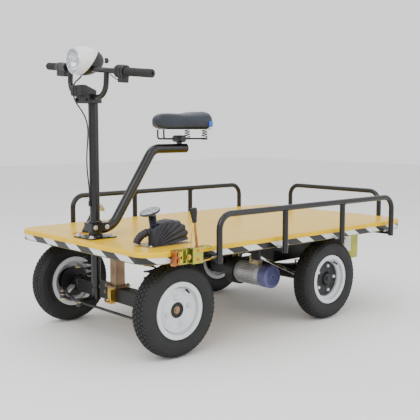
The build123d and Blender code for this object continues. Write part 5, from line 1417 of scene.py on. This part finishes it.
@dataclass
class Pedals:
    """The near pedal's pleated boot, hose, stalk and pad, and the far pedal's plate and stalk.

    The boot's reaches are rows of degrees above the deck and the reach from the front foot there.
    """

    foot_y: float = -726.25
    foot_z: float = 453.0
    outer_x: float = 385.0
    tip_x: float = 347.0
    tail_x: float = 265.0
    tail_length: float = 194.0
    reaches: tuple[tuple[float, float], ...] = (
        (4, 184), (13, 188), (23, 182), (33, 166), (43, 142), (54, 119), (66, 98), (79, 80), (92, 70)
    )
    pleat_depth: float = 6.5
    corner: float = 15.0
    pad_at: Triple = (347.0, -717.5, 586.0)
    hose: tuple[Triple, ...] = (
        (366, -678, 502), (353, -706, 507), (338, -732, 504),
        (324, -746, 491), (315, -753, 476), (311, -755.5, 463),
    )
    hose_mouth: Triple = (310.0, -756.5, 454.0)
    stalk: tuple[Triple, ...] = ((351, -702, 524), (351, -709.5, 571))
    far_stalk: tuple[Triple, ...] = ((-161, -686.25, 450.5), (-143, -683, 490), (-125, -680.25, 530))
    screws: tuple[tuple[float, float], ...] = ((278, -550), (380, -550), (380, -738))

    def reach(self, angle: float) -> float:
        """The boot's reach from its front foot at an angle above the deck.

        Args:
            angle: Degrees above the deck.

        Returns:
            The reach in millimetres.
        """
        for (low, first), (high, second) in zip(self.reaches, self.reaches[1:]):
            if angle <= high:
                share = max(0.0, (angle - low) / (high - low))
                return first + (second - first) * share
        return self.reaches[-1][1]

    def section(self, angle: float, fold: float) -> list[Vector]:
        """One section of the boot, through the line of its front foot.

        Args:
            angle: Degrees above the deck.
            fold: How deep the pleat is here, from 0 on a ridge to 1 in a valley.

        Returns:
            The section's points, from the outer foot round to the inner foot.
        """
        turn = math.radians(angle)
        far = self.reach(angle) - fold * self.pleat_depth

        def spot(x_share: float, reach: float, sink: float) -> Vector:
            """A point at a share of the width, with the sides sunk in the valleys.

            Args:
                x_share: The share of the width, from the outer side.
                reach: The distance from the front foot.
                sink: How much of the pleat's depth the sides take.

            Returns:
                The point.
            """
            y = reach * math.cos(turn)
            inner = self.tip_x + (self.tail_x - self.tip_x) * min(1.0, y / self.tail_length)
            side = sink * fold * self.pleat_depth * 0.8 * min(1.0, reach / 70)
            low, high = inner + side, self.outer_x - side
            return Vector(
                (high + (low - high) * x_share, self.foot_y + y, self.foot_z + reach * math.sin(turn))
            )

        width = self.outer_x - self.tip_x
        shoulder = far - self.corner
        rows = [(0, share * shoulder, 1) for share in (0.02, 0.25, 0.5, 0.75)]
        for step in range(5):
            bend = math.radians(22.5 * step)
            inset = self.corner * (1 - math.cos(bend)) / width
            rows.append((inset * 0.6, shoulder + self.corner * math.sin(bend), 1 - step / 4))
        rows += [(share, far, 0) for share in (0.35, 0.5)]
        mirrored = [(1 - across, reach, sink) for across, reach, sink in reversed(rows[:-1])]
        return [spot(*row) for row in rows + mirrored]

    def near_boot(self) -> None:
        """Makes the boot of fanned pleats, the ribbed hose with its end and both ribbed stalks."""
        boot = Draft()
        loops = []
        angles = [angle for angle, _ in self.reaches]
        for low, high in zip(angles, angles[1:]):
            for share, fold in ((0.0, 0.0), (0.22, 0.25), (0.5, 1.0), (0.78, 0.25)):
                loops.append(boot.loop(self.section(low + (high - low) * share, fold if low < 70 else 0.0)))
        loops.append(boot.loop(self.section(angles[-1], 0.0)))
        boot.skin(loops)
        self.ribs(boot, self.hose, 16.5, 14.0, 10)
        self.ribs(boot, self.stalk, 17.0, 14.0, 7)
        self.ribs(boot, self.far_stalk, 22.0, 19.0, 8, 0.42)
        made = boot.piece("pleated_boots", Finishes.BOOT_RUBBER, "chassis", 48)
        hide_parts("pedal_boots")
        tip = Draft()
        axes = aim(self.hose[-1], self.hose_mouth)
        tip.turn(((8, 0), (14.4, 0), (15, 3), (13.8, 8), (8, 8)), axes, 28, closed=True)
        tip.piece("hose_end", Finishes.CREAM_RUBBER, "chassis")

    def ribs(
        self, draft: Draft, route: Sequence[Triple], ridge: float, valley: float, count: int,
        taper: float = 1.0,
    ) -> None:
        """Adds a ribbed hose along a path.

        Args:
            draft: The piece.
            route: Points of the centre line.
            ridge: Radius on a rib.
            valley: Radius between ribs.
            count: How many ribs there are.
            taper: The share of the radius left at the end.
        """
        path = [Vector(p) for p in route]
        lengths = [0.0]
        for a, b in zip(path, path[1:]):
            lengths.append(lengths[-1] + (b - a).length)
        loops = []
        steps = count * 6
        side = Vector((1, 0, 0))
        for step in range(steps + 1):
            run = lengths[-1] * step / steps
            leg = max(i for i, start in enumerate(lengths[:-1]) if start <= run)
            way = (path[leg + 1] - path[leg]).normalized()
            spot = path[leg] + way * (run - lengths[leg])
            side = (side - way * side.dot(way)).normalized()
            wave = 0.5 + 0.5 * math.cos(2 * math.pi * step / 6)
            radius = (valley + (ridge - valley) * wave) * (1 + (taper - 1) * step / steps)
            loops.append(draft.loop(draft.bar_ring(spot, side, way, radius, 24)))
        draft.skin(loops)

    def build(self) -> None:
        """Dresses the pedals and makes their boots, the pad with its ridges and the flange's screws."""
        dress(Finishes.OLIVE_ZINC, "pedal_flange")
        dress(Finishes.BRIGHT_ZINC, "pedal_plate")
        self.near_boot()
        pad, ridges, axes = Draft(), Draft(), place(self.pad_at, tilt=(18, 0, 0))
        pad.turn(((0, -7), (36, -7), (41, -4), (42, 0), (41.2, 3), (38, 4.2), (0, 4.2)), axes, 56)
        pad.turn(((6, -22), (6, -7)), axes, 20)
        made = pad.piece("pedal_disc", Finishes.PAD_RUBBER, "chassis")
        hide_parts("pedal_pad")
        # The ridges are near white: painted highlight on their tops, with shoe wear
        for radius in (39, 30, 21, 12):
            ridge = ((radius - 3.6, 3.6), (radius, 3.6), (radius - 0.5, 6.4), (radius - 3.1, 6.4))
            ridges.turn(ridge, axes, 56, closed=True)
        for step in range(8):
            spoke = axes @ Matrix.Rotation(step * math.pi / 4, 4, "Z") @ Matrix.Translation((25, 0, 5))
            ridges.slab((24, 3, 2.6), spoke, 0.6)
        ridges.piece("pad_ridges", Finishes.WORN_AND_HIGHLIT_RUBBER, "chassis")
        screws = Draft()
        for x, y in self.screws:
            screws.bolt(place((x, y, self.foot_z)), 8, 3.6)
        screws.piece("flange_screws", Finishes.BRIGHT_ZINC, "chassis")


@dataclass
class BrakeLever:
    """The parking brake's lever with its zinc bracket at the deck's edge."""

    bracket_face: float = 524.3
    bolts: tuple[tuple[float, float], ...] = ((-712, 440), (-712, 412), (-668, 424), (-618, 444), (-618, 410))
    wire: tuple[Triple, ...] = (
        (519, -652, 452), (519, -653, 478), (518, -650, 506), (517, -643, 530), (516, -635, 546),
    )
    pull_rod: tuple[Triple, ...] = ((515, -597, 398), (515, -555, 402), (515, -516, 406))

    def build(self) -> None:
        """Dresses the lever and adds the bracket's fold and bolts, the release wire and the pull rod."""
        dress(Finishes.GREEN_ZINC, "brake_lever_bracket")
        dress(Finishes.ROSE_ZINC, "brake_lever")
        dress(Finishes.GRIP_RUBBER, "brake_lever_grip")
        bolts, wire, rod, fold = Draft(), Draft(), Draft(), Draft()
        fold.slab((33, 1.2, 58), place((512, -736.2, 425)), 0.4)
        fold.slab((1.2, 30, 56), place((519.4, -719, 425)), 0.4)
        fold.piece("bracket_front_fold", Finishes.ROSE_ZINC, "chassis")
        for y, z in self.bolts:
            bolts.bolt(place((self.bracket_face, y, z), Heading.LEFT), 11, 6)
        bolts.piece("bracket_bolts", Finishes.YELLOW_ZINC, "chassis")
        wire.tube(self.eased(self.wire), 1.6, 10)
        wire.piece("release_wire", Finishes.YELLOW_ZINC, "chassis")
        rod.tube(self.pull_rod, 3.5, 14)
        rod.piece("brake_pull_rod", Finishes.YELLOW_ZINC, "chassis")

    def eased(self, points: Sequence[Triple]) -> list[Vector]:
        """Rounds a path by cutting its corners twice.

        Args:
            points: The path's points.

        Returns:
            The rounded path.
        """
        path = [Vector(p) for p in points]
        for _ in range(2):
            cut = [path[0]]
            for a, b in zip(path, path[1:]):
                cut += [a.lerp(b, 0.25), a.lerp(b, 0.75)]
            path = cut + [path[-1]]
        return path


@dataclass
class Drive:
    """The motor, the rear axle on its leaf springs, the battery and the control box."""

    motor_y: float = 132.75
    axle_z: float = 192.0
    cover_x: float = 208.0
    hole_pitch: float = 6.6
    grille_inner: float = 12.0
    grille_outer: float = 44.0
    spring_x: float = 250.0
    spring_y: float = 296.75
    box_side: float = 300.0
    terminal_at: tuple[float, float] = (104.0, 122.0)

    def grille(self) -> None:
        """Makes the fan cover's punched face: a sheet with real holes, its rim and its hub."""
        axes = place((self.cover_x, self.motor_y, self.axle_z), Heading.LEFT)
        sheet, dark, rim = Draft(), Draft(), Draft()
        half = self.hole_pitch / 2
        corners = ((1, 1), (-1, 1), (-1, -1), (1, -1))
        steps = range(-8, 9)
        for column in steps:
            for row in steps:
                x, y = column * self.hole_pitch + (row % 2) * half, row * self.hole_pitch * 0.9
                if not self.grille_inner < math.hypot(x, y) < self.grille_outer:
                    continue
                middle = Vector((x, y, 1.6))
                outer = [Vector((x + cx * half, y + cy * half * 0.9, 1.6)) for cx, cy in corners]
                edge = []
                for first, second in zip(outer, outer[1:] + outer[:1]):
                    edge += [first, (first + second) / 2]
                hole = [middle + (p - middle).normalized() * self.hole_pitch * 0.3 for p in edge]
                back = [p - Vector((0, 0, 1.0)) for p in hole]
                rings = [sheet.loop([axes @ p for p in ring]) for ring in (edge, hole, back)]
                sheet.skin(rings, capped=False)
        sheet.piece("fan_grille", Finishes.FAN_ENAMEL, "chassis")
        # A black disc just behind the holes: painted shade inside the fan cover
        dark.turn(((0, 0.1), (46, 0.1), (46, 0.5), (0, 0.5)), axes, 40)
        dark.piece("fan_shadow", Finishes.SWITCH_ABS, "chassis")
        rim.turn(((42.5, 0), (42.5, 2.2), (45, 2.8), (49, 2.2), (51, 0)), axes, 64, closed=True)
        rim.turn(((6, 0), (6, 2.6), (8, 3.2), (13.5, 2.8), (14.5, 0)), axes, 40, closed=True)
        rim.piece("fan_rims", Finishes.FAN_ENAMEL, "chassis")

    def build(self) -> None:
        """Dresses the drive and adds its small parts."""
        dress(Finishes.CAST_PAINT, "rear_axle")
        dress(Finishes.CHROME, "radius_rods")
        dress(Finishes.SPRING_PAINT, "leaf_springs")
        dress(Finishes.MOTOR_CASTING, "motor")
        dress(Finishes.FAN_ENAMEL, "motor_fan_cover")
        dress(Finishes.BATTERY_ABS, "battery_box")
        dress(Finishes.GREEN_ZINC, "rear_box")
        self.grille()
        self.label()
        self.clips_and_bolts()
        self.boxes()

    def label(self) -> None:
        """Makes the blank label, bent round the motor's fins."""
        label = Draft()
        angles = [math.radians(angle) for angle in range(-14, 43, 8)]
        across = [(57.4, angle) for angle in angles] + [(56.4, angle) for angle in reversed(angles)]
        rows = []
        for x in (132, 154):
            ring = []
            for radius, angle in across:
                y, z = self.motor_y - radius * math.cos(angle), self.axle_z + radius * math.sin(angle)
                ring.append(Vector((x, y, z)))
            rows.append(label.loop(ring))
        label.skin(rows)
        label.piece("motor_label", Finishes.BLANK_LABEL, "chassis")

    def clips_and_bolts(self) -> None:
        """Makes the springs' clips with their nuts, and the control box's screws."""
        clips, bolts = Draft(), Draft()
        for side in Side:
            x = side.value * self.spring_x
            for y in (278, 316):
                for edge in (-26, 26):
                    clips.tube([(x + edge, y, 158), (x + edge, y, 264)], 4, 12)
                    bolts.bolt(place((x + edge, y, 154), Heading.DOWN), 12, 6)
                clips.slab((60, 9, 5), place((x, y, 262)), 1)
            clips.slab((64, 56, 6), place((x, self.spring_y, 158)), 1)
        clips.piece("spring_clips", Finishes.YELLOW_ZINC, "chassis")
        for y, z in ((566, 250), (668, 250), (566, 378), (668, 378)):
            bolts.bolt(place((self.box_side, y, z), Heading.LEFT), 7, 3)
        bolts.piece("drive_bolts", Finishes.BRIGHT_ZINC, "chassis")

    def boxes(self) -> None:
        """Makes the battery's side plate, the motor's terminal box and the control box's blank panel."""
        shield = Draft()
        shield.slab((3, 440, 128), place((206.5, 300, 328)), 0.8)
        shield.piece("battery_side_plate", Finishes.FRAME_PAINT, "chassis")
        terminals = Draft()
        x, y = self.terminal_at
        terminals.slab((54, 42, 36), place((x, y, 263)), 3)
        terminals.slab((58, 46, 6), place((x, y, 283.5)), 1.5)
        gland = ((6, 0), (9.5, 0), (9.5, 7), (7.5, 9), (6, 9))
        terminals.turn(gland, place((x, y - 21, 264), Heading.FRONT), 24, closed=True)
        terminals.piece("motor_terminal_box", Finishes.CREAM_RUBBER, "chassis")
        panel = Draft()
        panel.slab((2, 52, 104), place((self.box_side + 0.6, 592, 332)), 0.8)
        panel.piece("control_box_panel", Finishes.BLANK_LABEL, "chassis")


def main() -> None:
    """Builds the picture, sub-assembly by sub-assembly."""
    logging.basicConfig(level=logging.INFO, format="%(message)s")
    studio = Studio()
    studio.camera()
    Cables().build()
    studio.floor()
    studio.lights()
    Deck().build()
    Rails().build()
    for end, axle_y in (("front", -633.25), ("rear", 296.75)):
        for side in Side:
            Wheel(end, side, axle_y).build()
    for part in (FrontAxle(), Column(), Handlebar(), Headlamp(), Saddle(), Pedals(), BrakeLever(), Drive()):
        part.build()


if __name__ == "__main__":
    main()
